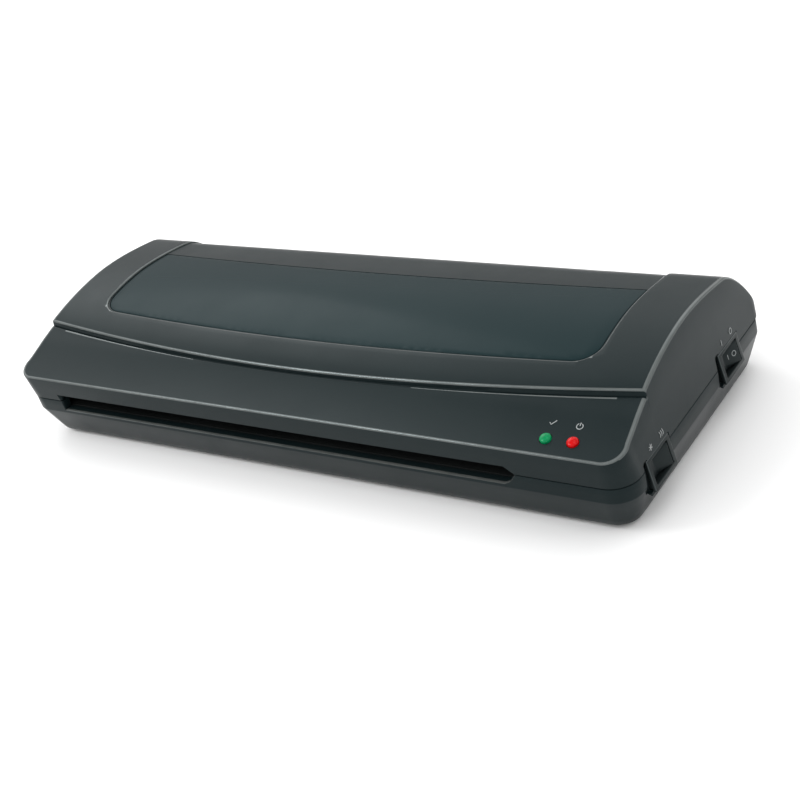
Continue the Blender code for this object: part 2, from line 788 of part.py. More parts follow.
def sleeve(name, z, look):
    """The silicone sleeve on a roller's shaft."""
    near, far = SLEEVE_X
    profile = [(3.3, far), (8.6, far), (ROLLER_RADIUS, far - 0.6)]
    profile += [(ROLLER_RADIUS, near + 0.6), (8.6, near), (3.3, near)]
    return turned(name, profile, look, (0, ROLLER_Y, z), (1, 0, 0), 24, closed=True)


def bush(name, x, inward, z, look):
    """A flanged plain bearing; the flange is on the roller's side of the frame."""
    profile = [(3.3, 3.3), (5.2, 3.3), (5.2, 2.3), (BUSH_RADIUS, 2.3), (BUSH_RADIUS, -2.3), (3.3, -2.3)]
    return turned(name, profile, look, (x, ROLLER_Y, z), (inward, 0, 0), 20, closed=True)


def pressure_spring(name, x, look):
    """A compression spring between an upper bush and the top of its slot."""
    bottom = UPPER_Z + BUSH_RADIUS + GAP + 0.4
    top = SPRING_TOP_Z - 0.4
    turns, per_turn = 5, 10
    guide = bpy.data.curves.new(name, "CURVE")
    guide.dimensions = "3D"
    line = guide.splines.new("POLY")
    count = turns * per_turn + 1
    line.points.add(count - 1)
    for i in range(count):
        angle = 2 * math.pi * i / per_turn
        z = bottom + (top - bottom) * i / (count - 1)
        spot = Vector((1.7 * math.cos(angle), 1.7 * math.sin(angle), z - SPRING_TOP_Z)) * MM
        line.points[i].co = (*spot, 1)
    guide.bevel_depth = 0.35 * MM
    guide.bevel_resolution = 0
    guide.use_fill_caps = True
    guide.materials.append(look)
    return link(name, guide, (x, ROLLER_Y, SPRING_TOP_Z), PARTS)


def gear(name, teeth, centre, phase, look):
    """A spur gear with plain flanks and a little backlash."""
    module = 2 * PITCH_RADIUS / ROLLER_TEETH
    pitch = module * teeth / 2
    tip, root = pitch + 0.82 * module, pitch - 1.22 * module
    step = 2 * math.pi / teeth
    half = step / 4 - 0.19 / pitch
    outline = []
    for i in range(teeth):
        middle = phase + i * step
        for radius, share in ((root, -1.55), (tip, -0.55), (tip, 0.55), (root, 1.55)):
            angle = middle + share * half
            outline.append((centre[0] + radius * math.cos(angle), centre[1] + radius * math.sin(angle)))
    shape = bmesh.new()
    extrusion(shape, outline, "X", GEAR_X)
    wheel = piece(name, shape, look, (sum(GEAR_X) / 2, *centre))
    bore = bmesh.new()
    rod(bore, SHAFT_RADIUS + GAP if teeth == ROLLER_TEETH else 2.3, (120, *centre), (145, *centre), 16)
    return cut(wheel, tool(name + "_bore", bore))


def motor_body(look):
    """A flat geared synchronous motor with its output off centre."""
    y, z = MOTOR_CENTRE
    shape = bmesh.new()
    rod(shape, MOTOR_RADIUS, (MOTOR_X[0], y, z), (MOTOR_X[1], y, z), 32)
    body = piece("motor_body", shape, look)
    holes = bmesh.new()
    rod(holes, 2.3, (130, *PINION_CENTRE), (150, *PINION_CENTRE), 14)
    for spot in MOTOR_SCREWS:
        rod(holes, 1.6, (130, *spot), (147, *spot), 10)
    return cut(body, tool("motor_holes", holes))


def motor_bracket(look):
    """A folded steel hat that stands the motor off the right frame."""
    foot = FRAME_RIGHT_X + FRAME_THICK / 2 + GAP
    face = 138.4
    thick = 1.2
    outline = [
        (foot, -37),
        (foot + thick, -37),
        (foot + thick, -29.2),
        (face + thick, -29.2),
        (face + thick, 26),
        (foot + thick, 26),
        (foot + thick, 33),
        (foot, 33),
        (foot, 24.8),
        (face, 24.8),
        (face, -28),
        (foot, -28),
    ]
    shape = bmesh.new()
    extrusion(shape, outline, "Z", (10, 44))
    bracket = piece("motor_bracket", shape, look)
    holes = bmesh.new()
    rod(holes, 4.0, (130, *PINION_CENTRE), (150, *PINION_CENTRE), 16)
    for spot in MOTOR_SCREWS:
        rod(holes, 1.8, (130, *spot), (150, *spot), 10)
    return cut(bracket, tool("bracket_holes", holes))


PINION_CENTRE = (
    ROLLER_Y + PITCH_RADIUS * (1 + PINION_TEETH / ROLLER_TEETH) * math.cos(PINION_ANGLE),
    LOWER_Z + PITCH_RADIUS * (1 + PINION_TEETH / ROLLER_TEETH) * math.sin(PINION_ANGLE),
)
MOTOR_SCREWS = ((-19.0, 20.0), (-13.0, 39.0))


def motor_shaft(look):
    shape = bmesh.new()
    rod(shape, 2.0, (127.2, *PINION_CENTRE), (149.5, *PINION_CENTRE), 14)
    return piece("motor_shaft", shape, look, (0, *PINION_CENTRE))


# ---------------------------------------------------------------- electrical pieces


def circuit_board(look):
    shape = bmesh.new()
    block(shape, (30, 110), (28, 62), (8.3, 9.9))
    return piece("circuit_board", shape, look)


def relay(look):
    shape = bmesh.new()
    block(shape, (78, 97), (36, 51), (10.2, 19.2))
    bmesh.ops.bevel(shape, geom=shape.edges[:], offset=0.8, segments=1, affect="EDGES")
    return piece("relay", shape, look)


def thermostat(look):
    """A bimetal disc switch on the back of the upper heater, with two blade terminals."""
    profile = [(0, 6.5), (5.5, 6.5), (6.2, 5.8), (6.2, 2.2), (8, 2.2), (8, 0), (0, 0)]
    can = turned("thermostat", profile, look, (-40, -20, 29.4), (0, 0, 1), 20)
    blades = bmesh.new()
    for side in (-1, 1):
        block(blades, (-40 + side * 3.4 - 0.4, -40 + side * 3.4 + 0.4), (-22, -18), (34, 41))
    return join(can, tool("thermostat_blades", blades))


def thermal_fuse(look):
    profile = [(0, 14), (0.6, 14), (0.6, 6.5), (2, 6.5), (2, -6.5), (0.6, -6.5), (0.6, -14), (0, -14)]
    return turned("thermal_fuse", profile, look, (30, -20, 31.5), (1, 0, 0), 12)


def indicator_board(look):
    """The small board behind the two lamps."""
    normal = panel_normal()
    middle = lamp_spot(sum(LAMPS_X) / 2) - normal * 7.6
    turn = Matrix.Translation(middle) @ Matrix.Rotation(math.atan(PANEL_SLOPE), 4, "X")
    shape = bmesh.new()
    block(shape, (-11, 11), (-4, 5), (-1.4, 0), turn)
    return piece("indicator_board", shape, look)


# ---------------------------------------------------------------- assembly


clear_scene()
PARTS = collection("pouch_laminator")
TOOLS = collection("tools")

FRONT_SLOT = slot_tool("front_slot", (-82, -60), SLOT_LOW, SLOT_HIGH)
REAR_SLOT = slot_tool("rear_slot", (64, 82), SLOT_LOW, SLOT_HIGH)
HEAT_OPENING = switch_tool("heat_opening", *HEAT_SWITCH)
POWER_OPENING = switch_tool("power_opening", *POWER_SWITCH)
HEAT_NOTCH = finger_tool("heat_notch", *HEAT_SWITCH)
POWER_NOTCH = finger_tool("power_notch", *POWER_SWITCH)
HEAT_BOSS = switch_boss("heat_boss", *HEAT_SWITCH, 12.4)
POWER_BOSS = switch_boss("power_boss", *POWER_SWITCH, 15.4)
FRAME_OPENINGS = frame_openings()
BUSH_SLOT = bush_slot()

casing = material("casing_plastic", (0.022, 0.030, 0.030), 0.42)
smoked = material("smoked_window", (0.020, 0.055, 0.058), 0.12)
switch_black = material("switch_plastic", (0.010, 0.012, 0.012), 0.38)
rubber = material("foot_rubber", (0.015, 0.015, 0.016), 0.85)
grommet = material("grommet_rubber", (0.012, 0.012, 0.013), 0.7)
green_lamp = material("green_lens", (0.01, 0.35, 0.10), 0.2)
red_lamp = material("red_lens", (0.65, 0.012, 0.015), 0.2)
zinc = material("screw_steel", (0.55, 0.55, 0.53), 0.35, 1.0)
plate = material("frame_steel", (0.60, 0.61, 0.62), 0.38, 1.0)
bright = material("shaft_steel", (0.68, 0.69, 0.70), 0.2, 1.0)
spring_steel = material("spring_steel", (0.40, 0.40, 0.41), 0.3, 1.0)
silicone = material("silicone_rubber", (0.30, 0.06, 0.04), 0.6)
nylon = material("gear_nylon", (0.72, 0.71, 0.66), 0.45)
bronze = material("bush_bronze", (0.42, 0.27, 0.12), 0.4, 1.0)
alloy = material("heater_aluminium", (0.75, 0.75, 0.76), 0.3, 1.0)
mica = material("heater_film", (0.42, 0.26, 0.10), 0.5)
guide_black = material("guide_plastic", (0.02, 0.02, 0.02), 0.5)
board_green = material("board_laminate", (0.02, 0.14, 0.06), 0.45)
relay_blue = material("relay_case", (0.03, 0.08, 0.30), 0.4)
motor_zinc = material("motor_can", (0.50, 0.50, 0.48), 0.4, 1.0)
phenolic = material("thermostat_case", (0.05, 0.03, 0.02), 0.5)
fuse_metal = material("fuse_case", (0.62, 0.60, 0.55), 0.35, 1.0)

top_cover(casing)
bottom_housing(casing)
window_panel(smoked)
lamp_lens("ready_lens", LAMPS_X[0], green_lamp)
lamp_lens("power_lens", LAMPS_X[1], red_lamp)
for label, spot in (("power", POWER_SWITCH), ("heat", HEAT_SWITCH)):
    switch_body(label + "_switch_body", *spot, switch_black)
    rocker(label + "_rocker", *spot, switch_black)
for row, y in zip(("front", "rear"), FOOT_Y):
    for side, x in (("left", -FOOT_X), ("right", FOOT_X)):
        rubber_foot(f"foot_{row}_{side}", x, y, rubber)
for row, y in (("front", POST_FRONT_Y), ("rear", POST_REAR_Y)):
    for side, x in (("left", -POST_X), ("right", POST_X)):
        screw(f"case_screw_{row}_{side}", (x, y, 5.7), (0, 0, 1), 2.4, 29, zinc)
cord_gland(grommet)

for side, x, inward in (("left", FRAME_LEFT_X, 1), ("right", FRAME_RIGHT_X, -1)):
    side_frame("frame_" + side, x, plate)
    bush("lower_bush_" + side, x, inward, LOWER_Z, bronze)
    bush("upper_bush_" + side, x, inward, UPPER_Z, bronze)
    pressure_spring("pressure_spring_" + side, x, spring_steel)
    for row, (y, z) in zip(("front", "rear"), TIE_RODS):
        outer = x - inward * (FRAME_THICK / 2 + GAP)
        screw(f"frame_screw_{row}_{side}", (outer, y, z), (inward, 0, 0), 1.8, 9.5, zinc, 1.4, 2.8)
for row, (y, z) in zip(("front", "rear"), TIE_RODS):
    tie_rod("tie_rod_" + row, y, z, bright)
for level, z in (("lower", LOWER_Z), ("upper", UPPER_Z)):
    shaft(level + "_roller_shaft", z, bright)
    sleeve(level + "_roller_sleeve", z, silicone)
gear("lower_roller_gear", ROLLER_TEETH, (ROLLER_Y, LOWER_Z), 0.0, nylon)
gear("upper_roller_gear", ROLLER_TEETH, (ROLLER_Y, UPPER_Z), math.pi / ROLLER_TEETH, nylon)
gear("motor_pinion", PINION_TEETH, PINION_CENTRE, math.radians(-10), nylon)
motor_shaft(bright)
motor_body(motor_zinc)
motor_bracket(plate)
for count, (y, z) in enumerate(MOTOR_SCREWS, 1):
    screw(f"motor_screw_{count}", (138.1, y, z), (1, 0, 0), 1.6, 8, zinc, 1.3, 2.5)

heating_plate("lower_heating_plate", LOWER_PLATE, alloy)
heating_plate("upper_heating_plate", UPPER_PLATE, alloy)
heater_strip("lower_heater_element", (19.3, 20.6), mica)
heater_strip("upper_heater_element", (27.8, 29.1), mica)
entry_guide("lower_entry_guide", -1, guide_black)
entry_guide("upper_entry_guide", 1, guide_black)
exit_guide("lower_exit_guide", -1, guide_black)
exit_guide("upper_exit_guide", 1, guide_black)
thermostat(phenolic)
thermal_fuse(fuse_metal)
circuit_board(board_green)
relay(relay_blue)
indicator_board(board_green)
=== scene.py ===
"""Looks for the pouch laminator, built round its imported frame: fine casing mouldings, tinted window,
lamps, rocker switches, feet and gland, with procedural materials, a pale floor and soft light.

Shapes are laid out in millimetres in the casing's own frame (x = 0 at its middle) and PLACE sets
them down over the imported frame.
"""

import json
import math

import bmesh
import bpy
import numpy as np
from mathutils import Matrix, Vector
from mathutils.geometry import delaunay_2d_cdt


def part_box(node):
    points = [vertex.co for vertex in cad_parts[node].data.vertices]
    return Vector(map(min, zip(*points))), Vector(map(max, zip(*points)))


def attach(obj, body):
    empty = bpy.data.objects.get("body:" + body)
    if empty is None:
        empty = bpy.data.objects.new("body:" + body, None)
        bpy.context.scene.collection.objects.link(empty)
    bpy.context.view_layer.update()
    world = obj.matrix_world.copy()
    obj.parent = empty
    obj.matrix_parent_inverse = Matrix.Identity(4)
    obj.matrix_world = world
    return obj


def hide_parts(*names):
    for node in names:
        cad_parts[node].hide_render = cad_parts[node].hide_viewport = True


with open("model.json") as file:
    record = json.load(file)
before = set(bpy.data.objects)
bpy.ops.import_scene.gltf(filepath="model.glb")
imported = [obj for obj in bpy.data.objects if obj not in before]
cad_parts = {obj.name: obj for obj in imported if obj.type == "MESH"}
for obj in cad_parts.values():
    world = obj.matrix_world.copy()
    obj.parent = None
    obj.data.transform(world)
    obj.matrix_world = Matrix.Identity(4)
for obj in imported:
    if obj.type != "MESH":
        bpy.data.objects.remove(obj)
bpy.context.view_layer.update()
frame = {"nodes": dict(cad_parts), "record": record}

COVER_LOW, COVER_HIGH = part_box("top_cover")
SHIFT = Vector(((COVER_LOW.x + COVER_HIGH.x) / 2, COVER_LOW.y + 0.0730, 0.0))
PLACE = Matrix.Translation(SHIFT) @ Matrix.Scale(0.001, 4)

# Casing, as in the CAD
LIP_Z, LIP_Y = 39.5, -73.1
PANEL_SLOPE = 0.366
PARTING_Z, PARTING_GAP = 25.7, 0.5
ROOF_CURVES = (
    ((-54, 47.8), (-39.9, 56.3), (-12.1, 62), (6, 62)),
    ((6, 62), (18.3, 62), (31.2, 60.3), (43.2, 58.3)),
    ((43.2, 58.3), (53.2, 56.7), (69.2, 39.2), (72.7, 25)),
)
SEAM_Y, SEAM_BOW, HALF_TOP = -51.0, 10.0, 166.8
RECESS_HALF, RECESS_Y, RECESS_BOW, RECESS_CORNER, RECESS_DEPTH = 141.0, -34.8, 5.3, 12.0, 0.9
WINDOW_Y, WINDOW_BOW, WINDOW_THICK, WINDOW_INSET = 22.5, 4.0, 1.1, 1.0
PATH_Z = 24.2
SLOT = (-144.0, 119.0, 20.3, 28.5)
SWITCH_TILT = math.radians(10)
SWITCH_X = 170.8
SWITCHES = {"heat": (-42.0, 21.3), "power": (34.5, 24.3)}
LAMPS = {"ready": 134.0, "power": 146.0}
LAMP_Y = -65.0
POSTS = [(x, y) for x in (-157.0, 157.0) for y in (-57.5, 60.0)]
FEET = [(x, y) for y in (-50.0, 55.0) for x in (-145.0, 145.0)]
EDGE = 1.0
PANEL_SAG = 0.45
ROCKER_HALF = 4.92
SKIRT_Z, WALL_LEAN, LID_WALL_LEAN = 22, 0.085, 0.09
REAR_RADIUS, REAR_ROUND_Y = 8, 66.1
POST_RADIUS, BORE_RADIUS = 4.2, 1.8
GLAND_X, GLAND_Z = 142, 12.5
SMOOTH_ANGLE = 28.0

# Where the plastics get polish and a painted highlight: narrow upward faces (metres) of edges turned by these degrees,
# above the lower band, off the parting line and off the strip before the seam (millimetres)
HIGHLIGHT_WIDTH, HIGHLIGHT_RISE, HIGHLIGHT_TURN = 0.0008, 0.12, (5, 50)
HIGHLIGHT_FLOOR, PARTING_BAND, SEAM_STRIP = 19.5, (24.9, 26.2), 0.9


# ---- node materials


def node_material(name):
    made = bpy.data.materials.new(name)
    made.use_nodes = True
    tree = made.node_tree
    return made, tree, tree.nodes["Principled BSDF"]


def add(tree, kind, **values):
    node = tree.nodes.new(kind)
    for key, value in values.items():
        if key in node.inputs:
            node.inputs[key].default_value = value
        else:
            setattr(node, key, value)
    return node


def noise(tree, scale, detail=3.0, rough=0.55):
    """Noise in object space, scale in cells per metre."""
    where = tree.nodes.get("where") or add(tree, "ShaderNodeTexCoord", name="where")
    node = add(tree, "ShaderNodeTexNoise", Scale=scale, Detail=detail, Roughness=rough)
    tree.links.new(where.outputs["Object"], node.inputs["Vector"])
    return node.outputs["Fac"]


def ramp(tree, value, low, high, start=0.0, end=1.0):
    node = add(tree, "ShaderNodeMapRange")
    for key, number in (("From Min", start), ("From Max", end), ("To Min", low), ("To Max", high)):
        node.inputs[key].default_value = number
    tree.links.new(value, node.inputs["Value"])
    return node.outputs["Result"]


def blend_colour(tree, factor, first, second):
    node = add(tree, "ShaderNodeMix", data_type="RGBA")
    tree.links.new(factor, node.inputs[0])
    for socket, colour in ((node.inputs[6], first), (node.inputs[7], second)):
        if isinstance(colour, tuple):
            socket.default_value = (*colour, 1.0)
        else:
            tree.links.new(colour, socket)
    return node.outputs[2]


def bump(tree, shader, *layers):
    """Stacks (height, distance in metres, strength) layers on the shader's normal."""
    last = None
    for height, distance, strength in layers:
        node = add(tree, "ShaderNodeBump", Distance=distance, Strength=strength)
        tree.links.new(height, node.inputs["Height"])
        if last:
            tree.links.new(last, node.inputs["Normal"])
        last = node.outputs["Normal"]
    tree.links.new(last, shader.inputs["Normal"])


def moulded(name, colour, tint, rough, grain=0.5, specular=0.2, polish_and_highlight_strength=0.0, highlight_colour=(0.1, 0.1, 0.1)):
    """Moulded plastic: spark-eroded grain, slow tone variation, faint handling marks, polished edges lightened with a
    painted highlight.
    """
    made, tree, shader = node_material(name)
    slow = ramp(tree, noise(tree, 14, 2.0), 0, 1, 0.35, 0.65)
    tone = blend_colour(tree, slow, colour, tint)
    polish_and_highlight_mask = None
    if polish_and_highlight_strength:
        polish_and_highlight = add(tree, "ShaderNodeAttribute", attribute_name="polish_and_highlight").outputs["Fac"]
        patchy = add(tree, "ShaderNodeMath", operation="MULTIPLY")
        tree.links.new(polish_and_highlight, patchy.inputs[0])
        tree.links.new(ramp(tree, noise(tree, 60, 3.0), polish_and_highlight_strength * 0.75, polish_and_highlight_strength, 0.35, 0.65), patchy.inputs[1])
        polish_and_highlight_mask = patchy.outputs[0]
        # painted highlight: the tone is lightened towards the highlight colour on the masked upward edges; the same
        # mask also raises the specular and lowers the roughness
        tone = blend_colour(tree, polish_and_highlight_mask, tone, highlight_colour)
        tree.links.new(ramp(tree, polish_and_highlight_mask, specular, 0.7), shader.inputs["Specular IOR Level"])
    tree.links.new(tone, shader.inputs["Base Color"])
    smudge = ramp(tree, noise(tree, 45, 4.0, 0.6), rough - 0.035, rough + 0.045, 0.3, 0.7)
    if polish_and_highlight_strength:
        polished = add(tree, "ShaderNodeMath", operation="MULTIPLY")
        tree.links.new(smudge, polished.inputs[0])
        tree.links.new(ramp(tree, polish_and_highlight_mask, 1.0, 0.55), polished.inputs[1])
        smudge = polished.outputs[0]
    else:
        shader.inputs["Specular IOR Level"].default_value = specular
    tree.links.new(smudge, shader.inputs["Roughness"])
    shader.inputs["Specular Tint"].default_value = (0.82, 0.98, 1.0, 1.0)
    bump(tree, shader, (noise(tree, 2600, 2.0), 0.00006, grain), (noise(tree, 9, 1.0), 0.0006, 0.035))
    return made


def window_plastic():
    """Tinted glossy acrylic with a faint orange-peel and fine wipe marks."""
    made, tree, shader = node_material("smoked_window_look")
    slow = ramp(tree, noise(tree, 9, 2.0), 0, 1, 0.3, 0.7)
    tone = blend_colour(tree, slow, (0.0060, 0.0150, 0.0170), (0.0080, 0.0185, 0.0205))
    tree.links.new(tone, shader.inputs["Base Color"])
    tree.links.new(ramp(tree, noise(tree, 60, 5.0), 0.20, 0.27, 0.3, 0.7), shader.inputs["Roughness"])
    shader.inputs["Specular IOR Level"].default_value = 0.05
    shader.inputs["Specular Tint"].default_value = (0.72, 0.98, 1.0, 1.0)
    shader.inputs["Coat Weight"].default_value = 0.02
    shader.inputs["Coat Roughness"].default_value = 0.12
    bump(tree, shader, (noise(tree, 180, 2.0), 0.00004, 0.25), (noise(tree, 12, 1.0), 0.0005, 0.03))
    return made


def lens_plastic(name, colour, glow):
    """Cloudy coloured lens plastic with a faint glow."""
    made, tree, shader = node_material(name)
    slow = ramp(tree, noise(tree, 700, 2.0), 0, 1, 0.3, 0.7)
    shade = tuple(c * 0.72 for c in colour)
    tree.links.new(blend_colour(tree, slow, shade, colour), shader.inputs["Base Color"])
    tree.links.new(ramp(tree, noise(tree, 1500), 0.12, 0.2, 0.3, 0.7), shader.inputs["Roughness"])
    shader.inputs["Specular IOR Level"].default_value = 0.12
    shader.inputs["Coat Weight"].default_value = 0.03
    shader.inputs["Coat Roughness"].default_value = 0.1
    shader.inputs["Subsurface Weight"].default_value = 0.25
    shader.inputs["Subsurface Radius"].default_value = (0.002, 0.002, 0.002)
    shader.inputs["Emission Color"].default_value = (*colour, 1.0)
    shader.inputs["Emission Strength"].default_value = glow
    return made


def rubbery(name, colour, rough):
    """Dusty moulded rubber."""
    made, tree, shader = node_material(name)
    dust = ramp(tree, noise(tree, 220, 5.0, 0.7), 0, 1, 0.5, 0.75)
    tree.links.new(blend_colour(tree, dust, colour, tuple(c + 0.03 for c in colour)), shader.inputs["Base Color"])
    tree.links.new(ramp(tree, noise(tree, 400), rough - 0.08, rough + 0.08, 0.3, 0.7), shader.inputs["Roughness"])
    bump(tree, shader, (noise(tree, 1800, 3.0), 0.0001, 0.4))
    return made


def metal(name, colour, rough, along=(1, 1, 1), grain=900):
    """Worked metal with a directional grain and light staining."""
    made, tree, shader = node_material(name)
    where = add(tree, "ShaderNodeTexCoord", name="where")
    stretch = add(tree, "ShaderNodeMapping")
    stretch.inputs["Scale"].default_value = along
    tree.links.new(where.outputs["Object"], stretch.inputs["Vector"])
    lines = add(tree, "ShaderNodeTexNoise", Scale=grain, Detail=4.0)
    tree.links.new(stretch.outputs["Vector"], lines.inputs["Vector"])
    stain = ramp(tree, noise(tree, 60, 4.0), 0, 1, 0.35, 0.7)
    tone = blend_colour(tree, stain, colour, tuple(c * 0.82 for c in colour))
    tree.links.new(tone, shader.inputs["Base Color"])
    tree.links.new(ramp(tree, lines.outputs["Fac"], rough - 0.07, rough + 0.1, 0.3, 0.7), shader.inputs["Roughness"])
    shader.inputs["Metallic"].default_value = 1.0
    bump(tree, shader, (lines.outputs["Fac"], 0.00003, 0.35))
    return made


LOOKS = {
    # The casing and switch looks end with a highlight strength and a light highlight colour: a painted highlight on
    # their upward edges
    "casing_plastic": moulded(
        "casing_look", (0.0046, 0.0088, 0.0097), (0.0058, 0.0104, 0.0113), 0.31, 0.35, 0.125, 0.9, (0.085, 0.09, 0.087)
    ),
    "smoked_window": window_plastic(),
    "switch_plastic": moulded(
        "switch_look", (0.0078, 0.0108, 0.0113), (0.0092, 0.0126, 0.0131), 0.36, 0.25, 0.13, 0.4, (0.07, 0.078, 0.078)
    ),
    "guide_plastic": moulded("guide_look", (0.008, 0.009, 0.009), (0.011, 0.012, 0.012), 0.5, 0.4),
    "gear_nylon": moulded("gear_look", (0.62, 0.60, 0.53), (0.70, 0.68, 0.62), 0.42, 0.2),
    "board_laminate": moulded("board_look", (0.012, 0.10, 0.045), (0.02, 0.13, 0.06), 0.4, 0.3),
    "relay_case": moulded("relay_look", (0.02, 0.05, 0.22), (0.03, 0.07, 0.27), 0.35, 0.2),
    "thermostat_case": moulded("phenolic_look", (0.035, 0.022, 0.014), (0.055, 0.035, 0.022), 0.45, 0.4),
    "heater_film": moulded("heater_film_look", (0.33, 0.18, 0.05), (0.42, 0.24, 0.08), 0.38, 0.2),
    "green_lens": lens_plastic("green_lens_look", (0.0004, 0.22, 0.075), 0.03),
    "red_lens": lens_plastic("red_lens_look", (0.5, 0.002, 0.0025), 0.1),
    "foot_rubber": rubbery("foot_look", (0.012, 0.012, 0.013), 0.8),
    "grommet_rubber": rubbery("grommet_look", (0.010, 0.011, 0.011), 0.62),
    "silicone_rubber": rubbery("silicone_look", (0.22, 0.045, 0.03), 0.55),
    "screw_steel": metal("screw_look", (0.62, 0.62, 0.60), 0.34),
    "frame_steel": metal("frame_look", (0.60, 0.61, 0.62), 0.36, (1, 1, 12)),
    "shaft_steel": metal("shaft_look", (0.66, 0.67, 0.68), 0.22, (1, 20, 20), 300),
    "spring_steel": metal("spring_look", (0.42, 0.42, 0.43), 0.3),
    "bush_bronze": metal("bronze_look", (0.46, 0.29, 0.13), 0.42),
    "heater_aluminium": metal("heater_plate_look", (0.74, 0.74, 0.75), 0.3, (1, 15, 1)),
    "motor_can": metal("motor_look", (0.52, 0.52, 0.50), 0.4),
    "fuse_case": metal("fuse_look", (0.62, 0.60, 0.55), 0.33),
}
PRINT = moulded("print_look", (0.26, 0.275, 0.275), (0.32, 0.335, 0.335), 0.55, 0.1)

for part in frame["record"]["subparts"]:
    data = frame["nodes"][part["node"]].data
    data.materials.clear()
    data.materials.append(LOOKS[part["material_slot"]])


# ---- shape helpers


def to_object(shape, name, angle=SMOOTH_ANGLE):
    """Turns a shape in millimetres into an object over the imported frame, smooth up to the angle."""
    bmesh.ops.remove_doubles(shape, verts=shape.verts, dist=0.002)
    bmesh.ops.recalc_face_normals(shape, faces=shape.faces)
    mesh = bpy.data.meshes.new(name)
    shape.to_mesh(mesh)
    shape.free()
    mesh.transform(PLACE)
    mesh.shade_smooth()
    mesh.set_sharp_from_angle(angle=math.radians(angle))
    made = bpy.data.objects.new(name, mesh)
    bpy.context.scene.collection.objects.link(made)
    return made


def apply_modifiers(obj):
    bpy.context.view_layer.update()
    graph = bpy.context.evaluated_depsgraph_get()
    mesh = bpy.data.meshes.new_from_object(obj.evaluated_get(graph))
    old = obj.data
    obj.modifiers.clear()
    obj.data = mesh
    bpy.data.meshes.remove(old)


def boolean(obj, operation, shape):
    """Cuts, joins or trims an object with a closed shape, which is used up."""
    other = to_object(shape, "tool") if isinstance(shape, bmesh.types.BMesh) else shape
    change = obj.modifiers.new("shape", "BOOLEAN")
    change.operation = operation
    change.solver = "MANIFOLD"
    change.object = other
    apply_modifiers(obj)
    tool_mesh = other.data
    bpy.data.objects.remove(other)
    bpy.data.meshes.remove(tool_mesh)


def combine(obj, operation, draw, *values):
    """Draws one shape and cuts, joins or trims the object with it."""
    shape = bmesh.new()
    draw(shape, *values)
    boolean(obj, operation, shape)


def mark_highlight_edges(mesh, polished):
    """Stores 1 on the narrow faces of small upward roundings, where the plastics are polished and get a painted
    highlight.
    """
    shape = bmesh.new()
    shape.from_mesh(mesh)
    polish_and_highlight = []
    to_casing = PLACE.inverted()
    for face in shape.faces:
        longest = max(e.calc_length() for e in face.edges)
        narrow = face.calc_area() < HIGHLIGHT_WIDTH * longest and face.normal.z > HIGHLIGHT_RISE
        edges = [e for e in face.edges if e.calc_length() > longest / 2 and len(e.link_faces) == 2]
        turned = any(HIGHLIGHT_TURN[0] < math.degrees(e.calc_face_angle_signed(0.0)) < HIGHLIGHT_TURN[1] for e in edges)
        x, y, z = to_casing @ face.calc_center_median()
        at_parting = PARTING_BAND[0] < z < PARTING_BAND[1]
        at_seam = -SEAM_STRIP < y - seam_y(x) < 0
        exposed = polished and z > HIGHLIGHT_FLOOR and not at_parting and not at_seam
        polish_and_highlight.append(float(narrow and turned and exposed))
    shape.free()
    layer = mesh.attributes.new("polish_and_highlight", "FLOAT", "FACE")
    layer.data.foreach_set("value", polish_and_highlight)


def finish_mesh(obj, name, slot, body, nodes, angle=SMOOTH_ANGLE):
    """Smooths the finished piece, gives it its look and stands it in for its CAD nodes."""
    mesh = obj.data
    shape = bmesh.new()
    shape.from_mesh(mesh)
    bmesh.ops.remove_doubles(shape, verts=shape.verts, dist=2e-6)
    bmesh.ops.dissolve_degenerate(shape, edges=shape.edges, dist=2e-6)
    shape.to_mesh(mesh)
    shape.free()
    mesh.shade_smooth()
    mesh.set_sharp_from_angle(angle=math.radians(angle))
    mark_highlight_edges(mesh, body == "casing")
    mesh.materials.clear()
    mesh.materials.append(LOOKS.get(slot) or PRINT)
    obj.name = mesh.name = name
    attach(obj, body)
    if nodes:
        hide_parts(*nodes)


def block(shape, x, y, z, turn=None):
    centre = Matrix.Translation((sum(x) / 2, sum(y) / 2, sum(z) / 2))
    size = Matrix.Diagonal((abs(x[1] - x[0]), abs(y[1] - y[0]), abs(z[1] - z[0]), 1))
    made = bmesh.ops.create_cube(shape, size=1, matrix=(turn or Matrix()) @ centre @ size)
    return made["verts"]


def soften(shape, edges, radius, segments):
    limits = {"affect": "EDGES", "clamp_overlap": True}
    bmesh.ops.bevel(shape, geom=edges, offset=radius, segments=segments, profile=0.5, **limits)


def soft_block(shape, x, y, z, radius, turn=None):
    """A box with every edge rounded."""
    verts = block(shape, x, y, z, turn)
    edges = list({edge for vert in verts for edge in vert.link_edges})
    bmesh.ops.bevel(shape, geom=edges, offset=radius, segments=3, profile=0.5, affect="EDGES")


def rod(shape, radius, start, end, sides=32):
    start, end = Vector(start), Vector(end)
    along = end - start
    turn = along.to_track_quat("Z", "Y").to_matrix().to_4x4()
    place = Matrix.Translation((start + end) / 2) @ turn
    size = {"radius1": radius, "radius2": radius, "depth": along.length}
    bmesh.ops.create_cone(shape, cap_ends=True, segments=sides, matrix=place, **size)


def skin(shape, rings, closed=True, caps=True):
    """Quads between rings of equal length."""
    rows = [[shape.verts.new(point) for point in ring] for ring in rings]
    count = len(rows[0])
    for lower, upper in zip(rows, rows[1:]):
        for i in range(count if closed else count - 1):
            j = (i + 1) % count
            shape.faces.new((lower[i], lower[j], upper[j], upper[i]))
    if caps:
        shape.faces.new(rows[0][::-1])
        shape.faces.new(rows[-1])
    return rows


